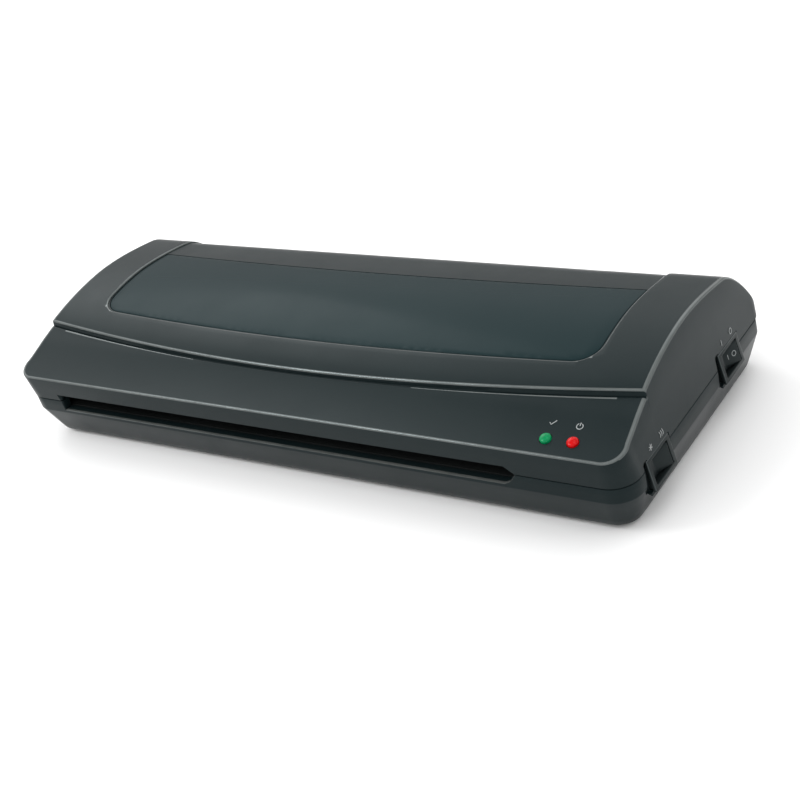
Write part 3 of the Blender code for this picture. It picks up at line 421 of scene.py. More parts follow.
def lathe(shape, profile, place, sides=40):
    """A turned solid: (radius, height) points from axis to axis, set down by the matrix."""
    rings = []
    for radius, height in profile:
        ring = []
        for i in range(sides):
            angle = 2 * math.pi * i / sides
            ring.append(place @ Vector((radius * math.cos(angle), radius * math.sin(angle), height)))
        rings.append(ring)
    skin(shape, rings)


def looking_along(point, direction):
    turn = Vector(direction).to_track_quat("Z", "Y").to_matrix().to_4x4()
    return Matrix.Translation(Vector(point)) @ turn


# ---- casing curves


def roof_table():
    line = []
    for p0, p1, p2, p3 in ROOF_CURVES:
        t = np.linspace(0, 1, 80)[bool(line) :, None]
        s = 1 - t
        bend = s**3 * np.array(p0) + 3 * s * s * t * np.array(p1) + 3 * s * t * t * np.array(p2) + t**3 * np.array(p3)
        line.extend(bend)
    line = np.array(line)
    run = line[-1] - line[-2]
    line = np.vstack([line, line[-1] + run / np.linalg.norm(run) * 8])
    length = np.concatenate([[0], np.cumsum(np.linalg.norm(np.diff(line, axis=0), axis=1))])
    slope = np.gradient(line, length, axis=0)
    slope /= np.linalg.norm(slope, axis=1)[:, None]
    return line, length, np.stack([-slope[:, 1], slope[:, 0]], axis=1)


ROOF_LINE, ROOF_S, ROOF_N = roof_table()


def roof(s):
    """(y, z, outward ny, nz) at an arc length along the lid's profile."""
    values = [np.interp(s, ROOF_S, column) for column in (*ROOF_LINE.T, *ROOF_N.T)]
    return tuple(float(v) for v in values)


def roof_s(y):
    return float(np.interp(y, ROOF_LINE[:, 0], ROOF_S))


def lid_point(x, s, depth=0.0):
    y, z, ny, nz = roof(s)
    return Vector((x, y - ny * depth, z - nz * depth))


def panel_z(y):
    """Height of the front panel, very slightly hollow between the lip and the seam."""
    share = min(1.0, max(0.0, (y - LIP_Y) / (SEAM_Y - LIP_Y)))
    return LIP_Z + PANEL_SLOPE * (y - LIP_Y) - PANEL_SAG * 4 * share * (1 - share)


def panel_normal(y):
    slope = (panel_z(y + 0.1) - panel_z(y - 0.1)) / 0.2
    return Vector((0, -slope, 1)).normalized()


def seam_y(x):
    """The bowed seam between the front panel and the lid."""
    return SEAM_Y + SEAM_BOW * (x / HALF_TOP) ** 2


def half_at(z):
    """Half of the casing's length at a height above the parting."""
    return float(np.interp(z, [22, 25.95, 40.1, 66], [170.2, 170.0, 168.9, 166.5]))


def rounded(half, front, rear, front_radius, rear_radius, z, steps=12, inset=0.0):
    """Points of a rounded rectangle at height z, its corners drawn in by the inset."""
    ring = []
    corners = (
        (half, rear, rear_radius, 0),
        (-half, rear, rear_radius, 90),
        (-half, front, front_radius, 180),
        (half, front, front_radius, 270),
    )
    for x, y, radius, start in corners:
        cx = x - math.copysign(radius, x)
        cy = y - radius if y == rear else y + radius
        for i in range(steps + 1):
            angle = math.radians(start + 90 * i / steps)
            ring.append((cx + (radius - inset) * math.cos(angle), cy + (radius - inset) * math.sin(angle), z))
    return ring


# ---- top cover


def cover_rows():
    """Rows of the cover's top skin, lip to rear: end point, surface normal, side normal, bow, sink."""
    rows = []
    z = panel_z(LIP_Y + 0.1)
    front, radius = LIP_Y + 0.08, 9.1
    for i in range(11):
        turn = math.radians(9 * i)
        y = front + radius * (1 - math.cos(turn))
        height = panel_z(y)
        x = half_at(z) - radius + radius * math.sin(turn)
        lean = -0.185 * math.cos(turn) ** 2 + WALL_LEAN * math.sin(turn) ** 2
        side = Vector((math.sin(turn), -math.cos(turn), lean)).normalized()
        rows.append(("panel", Vector((x, y, height)), panel_normal(y), side, 0.0, 0.0))
    end = seam_y(HALF_TOP)
    side = Vector((1, 0, WALL_LEAN)).normalized()
    for y in np.linspace(front + radius + 2, end - 1.6, 9):
        share = (y - front - radius) / (end - front - radius)
        rows.append(panel_row(y, SEAM_BOW * share, 0.0, side))
    for reach, sink in ((-0.75, 0), (-0.58, 0.04), (-0.46, 0.15), (-0.4, 0.35), (-0.4, 1.3)):
        rows.append(panel_row(end + reach, SEAM_BOW, sink, side))
    for reach, sink in ((0.4, 2.4), (0.4, 0.62), (0.43, 0.42), (0.52, 0.24), (0.68, 0.10), (0.9, 0.02), (1.2, 0)):
        rows.append(lid_row(roof_s(end + reach), SEAM_BOW, sink))
    for s in np.arange(roof_s(end + 4.0), ROOF_S[-1] - 1.0, 2.4):
        y = roof(s)[0]
        bow = float(np.interp(y, [end, -27.4, 28.1, 60], [SEAM_BOW, 7.4, 5.6, 0]))
        rows.append(lid_row(float(s), bow, 0.0))
    rows.append(lid_row(float(ROOF_S[-1]) - 0.6, 0.0, 0.0))
    return rows


def panel_row(y, bow, sink, side):
    z = panel_z(y)
    return "panel", Vector((half_at(z), y, z)), panel_normal(y), side, bow, sink


def rear_rounding(y):
    """How far a row runs into the rear corners' rounding, and how much its end draws in there."""
    over = min(REAR_RADIUS, max(0.0, y - REAR_ROUND_Y))
    return over, REAR_RADIUS - math.sqrt(REAR_RADIUS**2 - over * over)


def lid_row(s, bow, sink):
    y, z, ny, nz = roof(s)
    over, drop = rear_rounding(y)
    x = half_at(z) - drop
    turn = math.asin(min(over / REAR_RADIUS, 1))
    side = Vector((math.cos(turn), math.sin(turn), LID_WALL_LEAN)).normalized()
    return "lid", Vector((x, y, z)), Vector((0, ny, nz)), side, bow, sink


def rim_points(row, steps=5):
    """Points of the rounded edge from the top skin over to the side wall."""
    _, edge, top, side, _, sink = row
    centre = edge - (top + side) * (EDGE / (1 + top.dot(side)))
    points = []
    for i in range(steps + 1):
        toward = top.slerp(side, i / steps)
        points.append(centre + toward * EDGE + Vector((LID_WALL_LEAN, 0, -1)) * sink)
    return points


def wall_foot(row, index):
    """Where the side wall below a row's end meets the cover block's foot."""
    _, edge, _, side, _, _ = row
    if index <= 10:
        turn = math.radians(9 * index)
        return Vector((158 + 12.2 * math.sin(turn), -69.8 + 12.2 * (1 - math.cos(turn)), SKIRT_Z))
    slip = 6.3 * max(0.0, 1 - (edge.y + 64) / 25)
    return Vector((170.2 - rear_rounding(edge.y)[1], edge.y + slip, SKIRT_Z))


def wall_chain(rim, foot):
    """The rim's points and three more down to the foot."""
    return rim + [rim[-1].lerp(foot, share) for share in (0.33, 0.67)] + [foot]


def mirrored(point):
    return Vector((-point.x, point.y, point.z))


def cover_block(columns=56):
    """The cover's outside as one solid, its foot below the parting."""
    rows = cover_rows()
    quarter = math.pi / 2
    shares = [math.sin(quarter * (2 * i / columns - 1) * 0.98) / math.sin(quarter * 0.98) for i in range(columns + 1)]
    shape = bmesh.new()
    grid = []
    for row in rows:
        kind, _, _, _, bow, sink = row
        end = rim_points(row)[0]
        base = end.y
        line = []
        for share in shares:
            y = base - bow * (1 - share * share)
            z = panel_z(y) if kind == "panel" else roof(roof_s(y))[1]
            if kind == "lid" and base > 60:
                z = end.z
            line.append(shape.verts.new((share * end.x, y, z - sink if bow or sink else z)))
        grid.append(line)
    for lower, upper in zip(grid, grid[1:]):
        for i in range(columns):
            shape.faces.new((lower[i], lower[i + 1], upper[i + 1], upper[i]))
    walls = []
    for index in range(len(rows) - 1, 0, -1):
        rim = rim_points(rows[index])[1:]
        foot = wall_foot(rows[index], index)
        chain = [mirrored(point) for point in wall_chain(rim, foot)]
        walls.append([grid[index][0]] + [shape.verts.new(point) for point in chain])
    first = rim_points(rows[0])
    foot = wall_foot(rows[0], 0)
    for i in range(columns + 1):
        x = grid[0][i].co.x
        stretch = foot.x / first[0].x
        rim = [Vector((x, point.y, point.z)) for point in first[1:]]
        chain = wall_chain(rim, Vector((x * stretch, foot.y, foot.z)))
        walls.append([grid[0][i]] + [shape.verts.new(point) for point in chain])
    for index in range(1, len(rows)):
        rim = rim_points(rows[index])[1:]
        foot = wall_foot(rows[index], index)
        chain = wall_chain(rim, foot)
        walls.append([grid[index][-1]] + [shape.verts.new(point) for point in chain])
    for before, after in zip(walls, walls[1:]):
        for i in range(len(before) - 1):
            shape.faces.new([before[i], before[i + 1], after[i + 1], after[i]])
    bmesh.ops.remove_doubles(shape, verts=shape.verts, dist=0.01)
    edges = [edge for edge in shape.edges if len(edge.link_faces) == 1]
    bmesh.ops.holes_fill(shape, edges=edges, sides=0)
    return shape


def outline(inset, rear, rear_bow=0.0, rear_s=None):
    """(x, s) outline of the recess or window, s being the arc length along the lid's profile."""
    half = RECESS_HALF - inset
    corner = RECESS_CORNER - inset
    flat = half - corner

    def front(x):
        return RECESS_Y + inset + RECESS_BOW * (x / RECESS_HALF) ** 2

    points = [(x, roof_s(front(x))) for x in np.linspace(-flat, flat, 49)]
    base = roof_s(front(flat))
    arc = [(math.cos(math.radians(-90 + 9 * i)), math.sin(math.radians(-90 + 9 * i))) for i in range(1, 11)]
    right = [(flat + corner * c, base + corner * (1 + s)) for c, s in arc]
    last = rear_s if rear_s else roof_s(rear + rear_bow * (half / RECESS_HALF) ** 2)
    sides = list(np.linspace(right[-1][1], last, 26)[1:-1])
    points += right + [(half, s) for s in sides]
    for x in np.linspace(half, -half, 49):
        s = rear_s if rear_s else roof_s(rear + rear_bow * (x / RECESS_HALF) ** 2)
        points.append((float(x), s))
    points += [(-half, s) for s in reversed(sides)] + [(-x, s) for x, s in reversed(right)]
    return points


def grown(points, by):
    """An outline moved outwards, point by point."""
    ring = []
    for i, point in enumerate(points):
        before, after = Vector(points[i - 1]), Vector(points[(i + 1) % len(points)])
        here = Vector(point)
        first, second = (here - before).normalized(), (after - here).normalized()
        out = Vector((first.y + second.y, -first.x - second.x))
        scale = max(0.5, 1 + first.dot(second)) / 2
        out = out.normalized() / math.sqrt(scale)
        ring.append((here.x + out.x * by, here.y + out.y * by))
    return ring


def slab(points, layers, cell=6.0):
    """A solid that follows the lid: layers of (depth, growth) from its top face down to its underside."""
    shape = bmesh.new()
    rings = []
    for depth, growth in layers:
        rings.append([shape.verts.new(lid_point(x, s, depth)) for x, s in grown(points, growth)])
    count = len(points)
    for upper, lower in zip(rings, rings[1:]):
        for i in range(count):
            j = (i + 1) % count
            shape.faces.new((upper[i], upper[j], lower[j], lower[i]))
    for ring, (depth, growth) in ((rings[0], layers[0]), (rings[-1], layers[-1])):
        flat = [Vector(point) for point in grown(points, growth)]
        xs = [p.x for p in flat]
        ss = [p.y for p in flat]
        inner = []
        for x in np.arange(min(xs) + cell / 2, max(xs), cell):
            for s in np.arange(min(ss) + 1.3, max(ss), 2.6):
                inner.append(Vector((float(x), float(s))))
        inner = [p for p in inner if inside(p, flat, 1.0)]
        found = delaunay_2d_cdt(flat + inner, [], [list(range(count))], 1, 1e-5)
        verts = {}
        for index, origins in enumerate(found[3]):
            ours = [o for o in origins if o < count]
            spot = found[0][index]
            verts[index] = ring[ours[0]] if ours else shape.verts.new(lid_point(spot.x, spot.y, depth))
        for face in found[2]:
            try:
                shape.faces.new([verts[i] for i in face])
            except ValueError:
                pass
    return shape


def inside(point, ring, margin):
    """Whether a point lies inside the ring and no nearer to it than the margin."""
    spots = np.array([(p.x, p.y) for p in ring])
    if np.min(np.hypot(spots[:, 0] - point.x, spots[:, 1] - point.y)) < margin:
        return False
    after = np.roll(spots, -1, axis=0)
    crosses = (spots[:, 1] > point.y) != (after[:, 1] > point.y)
    with np.errstate(divide="ignore", invalid="ignore"):
        x = (after[:, 0] - spots[:, 0]) * (point.y - spots[:, 1]) / (after[:, 1] - spots[:, 1]) + spots[:, 0]
    return bool(np.count_nonzero(crosses & (point.x < x)) % 2)


def switch_place(name):
    """Matrix of a switch: u to the rear, v up its face and w out of the casing."""
    y, z = SWITCHES[name]
    lean = Vector((math.cos(SWITCH_TILT), 0, math.sin(SWITCH_TILT)))
    up = Vector((-math.sin(SWITCH_TILT), 0, math.cos(SWITCH_TILT)))
    turn = Matrix(((0, up.x, lean.x), (1, up.y, lean.y), (0, up.z, lean.z))).to_4x4()
    return Matrix.Translation((SWITCH_X, y, z)) @ turn


def mouth(front):
    """The pouch mouth as a solid: chamfered right end, flared lips at the casing's face."""
    left, right, low, high = SLOT

    def ring(y, flare):
        middle = PATH_Z
        return [
            (left - flare, y, low - flare),
            (right - 5.5, y, low - flare),
            (right - 2.6 + flare, y, low + 1.4),
            (right - 1.2 + flare, y, middle - 0.5),
            (right + flare, y, middle + 1.2),
            (right - 0.6 + flare, y, high - 2.2),
            (right - 3.6, y, high + flare),
            (left - flare, y, high + flare),
        ]

    shape = bmesh.new()
    if front:
        stops = ((-82, 9.0), (-70.9, 0.95), (-70.3, 0.5), (-69.9, 0.22), (-69.4, 0.05), (-68.8, 0.0), (-64, -0.4))
    else:
        stops = ((64, -0.4), (71.8, 0.0), (72.4, 0.12), (72.8, 0.45), (82, 6.0))
    skin(shape, [ring(y, flare) for y, flare in stops])
    return shape


def cut_openings(shell):
    """The pouch mouths, room for the switches' bezels and bodies, and the finger notch before each."""
    boolean(shell, "DIFFERENCE", mouth(True))
    boolean(shell, "DIFFERENCE", mouth(False))
    for name, (y, z) in SWITCHES.items():
        place = switch_place(name)
        combine(shell, "DIFFERENCE", block, (-11.0, 11.0), (-7.5, 7.5), (-1.8, 12), place)
        combine(shell, "DIFFERENCE", block, (-9.9, 9.9), (-6.7, 6.7), (-30, 5), place)
        combine(shell, "DIFFERENCE", soft_block, (167.9, 190), (y - 13.8, y - 9.5), (z - 7.4, z + 8), 1.2)


def cover_hollow():
    """The room inside the cover, its screw posts left standing."""
    shape = bmesh.new()
    rings = []
    for z, front, radius in ((20, -70.1, 12), (40.1, -73.1, 9), (66, -73.1, 8)):
        rings.append(rounded(half_at(z), front, 74.1, radius, 8, z, 5, 2.5))
    skin(shape, rings)
    hollow = to_object(shape, "hollow")
    line = []
    for s in np.linspace(roof_s(-36), ROOF_S[-1] - 4, 26):
        point = lid_point(0, float(s), 3.6)
        line.append((point.y, point.z))
    knee = LIP_Z + PANEL_SLOPE * (-38 - LIP_Y) - 3.2
    low = LIP_Z + PANEL_SLOPE * (-85 - LIP_Y) - 3.2
    section = [(-85, 12), (-85, low), (-38, knee)] + line + [(line[-1][0], 12)]
    combine(hollow, "INTERSECT", skin, [[(x, y, z) for y, z in section] for x in (-180, 180)])
    for x, y in POSTS:
        combine(hollow, "DIFFERENCE", rod, POST_RADIUS, (x, y, 10), (x, y, 70), 24)
    return hollow


def build_cover():
    cover = to_object(cover_block(), "top_cover_skin")
    combine(cover, "DIFFERENCE", block, (-200, 200), (-100, 100), (0, PARTING_Z + PARTING_GAP / 2))
    rim = [(0.75 * (1 - math.cos(a)), 0.75 * (1 - math.sin(a))) for a in np.radians((8, 25, 42, 58, 75, 90))]
    depths = [(-6, 4.0), (-0.25, 1.5)] + rim + [(RECESS_DEPTH, -0.04)]
    boolean(cover, "DIFFERENCE", slab(outline(0, 90, rear_s=float(ROOF_S[-1]) - 0.4), depths))
    depths = ((-2, 0), (RECESS_DEPTH + WINDOW_THICK + 0.3, 0))
    boolean(cover, "DIFFERENCE", slab(outline(WINDOW_INSET - 0.3, WINDOW_Y + 0.3, WINDOW_BOW), depths))
    boolean(cover, "DIFFERENCE", cover_hollow())
    cut_openings(cover)
    for x in LAMPS.values():
        spot = Vector((x, LAMP_Y, panel_z(LAMP_Y)))
        up = panel_normal(LAMP_Y)
        profile = [(0.01, -8), (2.7, -8), (2.7, -0.22), (2.74, -0.08), (2.84, 0.03), (3.1, 0.6), (0.01, 0.6)]
        combine(cover, "DIFFERENCE", lathe, profile, looking_along(spot, up))
    for x, y in POSTS:
        combine(cover, "DIFFERENCE", rod, BORE_RADIUS, (x, y, 20), (x, y, 38.5), 16)
    finish_mesh(cover, "top_cover_moulding", "casing_plastic", "casing", ["top_cover"])


def build_window():
    """The tinted window, its upper edge rounded."""
    points = outline(WINDOW_INSET, WINDOW_Y, WINDOW_BOW)
    top = RECESS_DEPTH
    layers = ((top, -0.42), (top + 0.04, -0.22), (top + 0.15, -0.06), (top + 0.4, 0), (top + WINDOW_THICK, 0))
    window = to_object(slab(points, layers), "window_skin")
    finish_mesh(window, "window_insert", "smoked_window", "casing", ["window_panel"])


# ---- bottom housing


def housing_rings():
    """Rings of the housing: rounded underside edge, leaning lower band, upright upper band."""
    rings = []
    for z, share, inset in (
        (2.0, 0.0, 1.5),
        (2.1, 0.0, 0.9),
        (2.45, 0.02, 0.35),
        (3.1, 0.06, 0.0),
        (6, 0.242, 0),
        (10, 0.485, 0),
        (14, 0.727, 0),
        (18.0, 0.97, 0),
        (18.35, 0.988, 0),
        (18.65, 0.997, 0),
        (19.0, 1.0, 0),
    ):
        half, front, rear = 164.5 + 5.5 * share, -63.0 - 7.0 * share, 71.2 + 1.9 * share
        rings.append(rounded(half, front, rear, 9.5 + 2.5 * share, 9 - share, z, 12, inset))
    for z, inset in ((22, 0), (25.0, 0), (25.3, 0.1), (25.45, 0.35)):
        lean = (z - 18.5) / 7
        rings.append(rounded(170, -70 - 0.5 * lean, 73.1 - 0.4 * lean, 12, 8, z, 12, inset))
    return rings


def build_housing():
    shape = bmesh.new()
    skin(shape, housing_rings())
    housing = to_object(shape, "housing_skin")
    tongue = [rounded(170, -70.3, 70.5, 12, 8, z, 12, inset) for z, inset in ((21, 3), (27.5, 3.25), (27.8, 3.25))]
    combine(housing, "UNION", skin, tongue)
    for name, (y, z) in SWITCHES.items():
        foot = z - 8.9
        lean = math.tan(SWITCH_TILT)
        back = SWITCH_X - 1.5 / math.cos(SWITCH_TILT) - 0.3
        face = [(back - lean * (h - z), h) for h in (foot, 25.45)]
        boss = bmesh.new()
        section = [(162, foot + 4), face[0], face[1], (162, 25.45)]
        skin(boss, [[(x, side, h) for x, h in section] for side in (y - 11.8, y + 11.8)])
        soften(boss, boss.edges[:], 0.5, 2)
        boolean(housing, "UNION", boss)
    hollow = bmesh.new()
    rings = [rounded(165.6, -64.4, 71.6, 10, 9, 4.5, 8, 2.5), rounded(170, -70, 72.7, 12, 8, 18.5, 8, 2.5)]
    rings += [rounded(170, -70, 70.5, 12, 8, z, 8, 4.2) for z in (20.1, 40)]
    skin(hollow, rings)
    hollow = to_object(hollow, "hollow")
    for x, y in POSTS:
        combine(hollow, "DIFFERENCE", rod, POST_RADIUS, (x, y, -5), (x, y, 25.2), 24)
    boolean(housing, "DIFFERENCE", hollow)
    for x in (-150, 125):
        for y in (-30, 36):
            for side in (-1, 1):
                near = x + side * 1.05
                combine(housing, "UNION", block, sorted((near, near + side * 2)), (y - 6, y + 6), (3.5, 9))
    for x in (34, 106):
        for y in (31, 59):
            combine(housing, "UNION", rod, 2.5, (x, y, 3.5), (x, y, 8), 20)
    for x, y in POSTS:
        profile = [(0.01, -4), (4.2, -4), (3.9, 2.1), (3.6, 2.4), (3.6, 6)]
        profile += [(BORE_RADIUS, 6), (BORE_RADIUS, 40), (0.01, 40)]
        combine(housing, "DIFFERENCE", lathe, profile, Matrix.Translation((x, y, 0)), 28)
    for x, y in FEET:
        combine(housing, "DIFFERENCE", rod, 7.3, (x, y, -3), (x, y, 3), 40)
    for i in range(9):
        x = -120 + 26 * i
        combine(housing, "DIFFERENCE", soft_block, (x, x + 3), (-36, -4), (-3, 12), 1.2)
    combine(housing, "DIFFERENCE", rod, 5.3, (GLAND_X, 60, GLAND_Z), (GLAND_X, 90, GLAND_Z), 32)
    cut_openings(housing)
    finish_mesh(housing, "bottom_housing_moulding", "casing_plastic", "casing", ["bottom_housing"])


# ---- switches, lamps, feet, gland


def build_switch(name):
    """A switch body: rounded bezel, box behind it, two blades and the room for its rocker."""
    place = switch_place(name)
    shape = bmesh.new()
    soft_block(shape, (-10.75, 10.75), (-7.25, 7.25), (-1.5, 0), 0.45, place)
    body = to_object(shape, "switch_skin")
    combine(body, "UNION", soft_block, (-9.6, 9.6), (-6.4, 6.4), (-15, -0.5), 0.4, place)
    for u in (-5, 5):
        combine(body, "UNION", soft_block, (u - 0.5, u + 0.5), (-2.4, 2.4), (-21, -14), 0.2, place)

    def ring(depth, grow):
        u, v, r = 8.3 + grow, 5.2 + grow, 0.6
        corners = ((u, v, 0), (-u, v, 90), (-u, -v, 180), (u, -v, 270))
        points = []
        for cu, cv, start in corners:
            for i in range(5):
                angle = math.radians(start + 22.5 * i)
                at_u = cu - math.copysign(r, cu) + r * math.cos(angle)
                at_v = cv - math.copysign(r, cv) + r * math.sin(angle)
                points.append(place @ Vector((at_u, at_v, depth)))
        return points

    stops = ((-11, 0.6), (-2.0, 0.6), (-1.6, 0), (-0.45, 0), (-0.15, 0.06), (0, 0.25), (0.5, 0.8))
    combine(body, "DIFFERENCE", skin, [ring(depth, grow) for depth, grow in stops])
    finish_mesh(body, name + "_switch_case", "switch_plastic", "casing", [name + "_switch_body"])


def rocker_face(v):
    """Points (u, w) along a rocker's dished face: its front part sunk, its rear part raised."""
    crease = -1.9 + 1.5 * (v / ROCKER_HALF) ** 2
    front, centre, rear = Vector((-8.1, -2.42)), Vector((crease, -3.1)), Vector((6.88, 0.41))
    ahead, behind = (front - centre).normalized(), (rear - centre).normalized()
    return [front] + [centre + ahead * d for d in (0.6, 0.2)] + [centre + behind * d for d in (0.2, 0.6)] + [rear]


def build_rocker(name):
    """A dished rocker, resting with its front end in, its edges softened."""
    place = switch_place(name)
    under = []
    for radius, degrees in ((8.3, 22), (8.1, 10), (8.0, -4), (5.6, -50), (5.6, -130), (8.0, 184), (8.25, 174)):
        angle = math.radians(degrees)
        under.append(Vector((radius * math.cos(angle), radius * math.sin(angle) - 4.5)))
    shape = bmesh.new()
    rings = []
    for v in np.linspace(-ROCKER_HALF, ROCKER_HALF, 9):
        rings.append([place @ Vector((p.x, v, p.y)) for p in rocker_face(v) + under])
    skin(shape, rings)
    bmesh.ops.remove_doubles(shape, verts=shape.verts, dist=0.001)
    sharp = [e for e in shape.edges if len(e.link_faces) == 2 and e.calc_face_angle(0) > 0.7]
    soften(shape, sharp, 0.3, 3)
    made = to_object(shape, "rocker_skin", 32)
    finish_mesh(made, name + "_rocker_cap", "switch_plastic", name + "_rocker", [name + "_rocker"], 32)


def build_lens(name, x):
    """A domed lamp lens with its barrel."""
    spot = Vector((x, LAMP_Y, panel_z(LAMP_Y)))
    dome = [(2.5 * math.sin(a), 0.35 + 1.05 * math.cos(a)) for a in np.linspace(0.02, math.pi / 2, 12)]
    profile = dome + [(2.5, -6.4), (2.4, -6.5), (0.02, -6.5)]
    shape = bmesh.new()
    lathe(shape, profile, looking_along(spot, panel_normal(LAMP_Y)), 48)
    slot = ("green" if name == "ready" else "red") + "_lens"
    finish_mesh(to_object(shape, "lens_skin"), name + "_lamp_dome", slot, "casing", [name + "_lens"])


def build_foot(name, x, y):
    """A round rubber foot with a shallow ring groove."""
    profile = [(0.02, 2.7), (6.7, 2.7), (6.97, 2.5), (7, 1.2), (6.8, 0.6), (6.2, 0.08), (5.6, 0)]
    profile += [(5.2, 0), (5.0, 0.25), (3.4, 0.25), (3.2, 0), (0.02, 0)]
    shape = bmesh.new()
    lathe(shape, profile, Matrix.Translation((x, y, 0)), 48)
    finish_mesh(to_object(shape, "foot_skin"), name + "_pad", "foot_rubber", "casing", [name])


def build_gland():
    """A rubber grommet in the rear wall, its flanges gripping both faces."""
    place = looking_along((GLAND_X, 73.5, GLAND_Z), (0, 1, 0))
    outer = [(3.4, 1.75), (3.9, 1.95), (5.0, 1.9), (5.6, 1.7), (6.5, 0.85), (6.6, 0.3), (6.5, 0.0), (5.0, -0.3)]
    outer += [(5.0, -5.2), (6.0, -5.5), (5.9, -6.3), (5.6, -7), (3.4, -7)]
    rings = []
    for radius, height in outer + [outer[0]]:
        angles = [2 * math.pi * i / 48 for i in range(48)]
        rings.append([place @ Vector((radius * math.cos(a), radius * math.sin(a), height)) for a in angles])
    shape = bmesh.new()
    skin(shape, rings, caps=False)
    finish_mesh(to_object(shape, "gland_skin"), "cord_grommet", "grommet_rubber", "casing", ["cord_gland"])


def build_screw(node, x, y):
    """A pan-head case screw driven up from below, with a cross recess and a coarse thread."""
    radius, height, shank, length = 3.1, 2.4, 1.5, 29
    place = looking_along((x, y, 5.7), (0, 0, -1))
    profile = [(radius * math.sin(a), height * (0.35 + 0.65 * math.cos(a))) for a in np.linspace(0.03, math.pi / 2, 9)]
    profile += [(radius, 0), (shank, 0)]
    for i in range(int(length - 1.5)):
        profile += [(shank, -0.6 - i), (shank * 0.8, -1.0 - i)]
    profile += [(shank * 0.7, -length + 0.6), (0.05, -length)]
    shape = bmesh.new()
    lathe(shape, profile, place, 24)
    screw = to_object(shape, "screw_skin")
    for turn in (0, math.pi / 2):
        turned = place @ Matrix.Rotation(turn, 4, "Z")
        half, width = radius * 0.55, radius * 0.13
        combine(screw, "DIFFERENCE", block, (-half, half), (-width, width), (height * 0.35, height * 2), turned)
    finish_mesh(screw, node + "_pan_head", "screw_steel", "casing", [node])


# ---- printed marks


def ribbon(shape, points, width, height, closed=False):
    """A flat printed stroke of the given width, standing height above its plane."""
    count = len(points)
    sides = []
    for i, point in enumerate(points):
        before = points[i - 1] if i or closed else point
        after = points[(i + 1) % count] if i < count - 1 or closed else point
        run = Vector((after[0] - before[0], after[1] - before[1])).normalized()
        off = Vector((-run.y, run.x)) * width / 2
        sides.append([(point[0] + off.x, point[1] + off.y), (point[0] - off.x, point[1] - off.y)])
    rings = []
    for a, b in sides:
        rings.append([(*a, height), (*b, height), (*b, -height), (*a, -height)])
    if closed:
        rings.append(rings[0])
    skin(shape, rings, caps=not closed)


def circle(radius, start=0, end=360, steps=24):
    angles = [math.radians(start + (end - start) * i / steps) for i in range(steps + (end - start < 360))]
    return [(radius * math.cos(a), radius * math.sin(a)) for a in angles]


def marks():
    """Plain symbols by the lamps and switches: tick, power sign, I and O, cold star and heat waves."""
    yield "ready_mark", "panel", (134, -57.6), [([(-1.3, 0.1), (-0.4, -0.9), (1.5, 1.3)], False)]
    yield "power_mark", "panel", (146, -57.6), [
        (circle(1.35, 120, 420), False),
        ([(0, 0.2), (0, 1.75)], False),
    ]
    yield "on_mark", "power", (-5.2, 10.6), [([(0, -1.3), (0, 1.3)], False)]
    yield "off_mark", "power", (5.2, 10.6), [(circle(1.25), True)]
    star = []
    for angle in (0.52, 1.57, 2.62):
        c, s = 1.5 * math.cos(angle), 1.5 * math.sin(angle)
        star.append(([(c, s), (-c, -s)], False))
    yield "cold_mark", "heat", (-5.2, 10.6), star
    waves = []
    for x in (-1.3, 0, 1.3):
        waves.append(([(x + 0.35 * math.sin(t * 4.2), -1.4 + 2.8 * t) for t in np.linspace(0, 1, 14)], False))
    yield "hot_mark", "heat", (5.2, 10.6), waves


def mark_frame(kind, spot):
    """Matrix of a mark: on the front panel at (x, y), or on the end wall at (u, v) from a switch."""
    if kind == "panel":
        x, y = spot
        up = panel_normal(y)
        away = Vector((0, up.z, -up.y))
        turn = Matrix(((1, 0, 0), (0, away.y, up.y), (0, away.z, up.z))).to_4x4()
        return Matrix.Translation((x, y, panel_z(y))) @ turn
    y, z = SWITCHES[kind]
    height = z + spot[1] * math.cos(SWITCH_TILT)
    out = Vector((1, 0, WALL_LEAN)).normalized()
    up = Vector((-WALL_LEAN, 0, 1)).normalized()
    turn = Matrix(((0, up.x, out.x), (1, up.y, out.y), (0, up.z, out.z))).to_4x4()
    return Matrix.Translation((half_at(height), y + spot[0], height)) @ turn


def build_marks():
    for name, kind, spot, strokes in marks():
        place = mark_frame(kind, spot)
        shape = bmesh.new()
        for points, closed in strokes:
            ribbon(shape, points, 0.34, 0.045, closed)
        bmesh.ops.transform(shape, matrix=place, verts=shape.verts)
        finish_mesh(to_object(shape, name), name, "print", "casing", [])
    place = switch_place("power")
    shape = bmesh.new()
    _, _, _, _, foot, tip = rocker_face(0)
    rise = (tip - foot).normalized()
    for points, closed, along in (([(0, -1.15), (0, 1.15)], False, 2.2), (circle(1.15), True, 5.9)):
        stroke = bmesh.new()
        ribbon(stroke, points, 0.27, 0.06, closed)
        spot = foot + rise * along
        local = Matrix.Translation((spot.x, 0, spot.y)) @ Matrix.Rotation(-math.atan2(rise.y, rise.x), 4, "Y")
        bmesh.ops.transform(stroke, matrix=place @ local, verts=stroke.verts)
        mesh = bpy.data.meshes.new("stroke")
        stroke.to_mesh(mesh)
        stroke.free()
        shape.from_mesh(mesh)
        bpy.data.meshes.remove(mesh)
    finish_mesh(to_object(shape, "rocker_marks"), "rocker_marks", "print", "power_rocker", [])


# ---- build


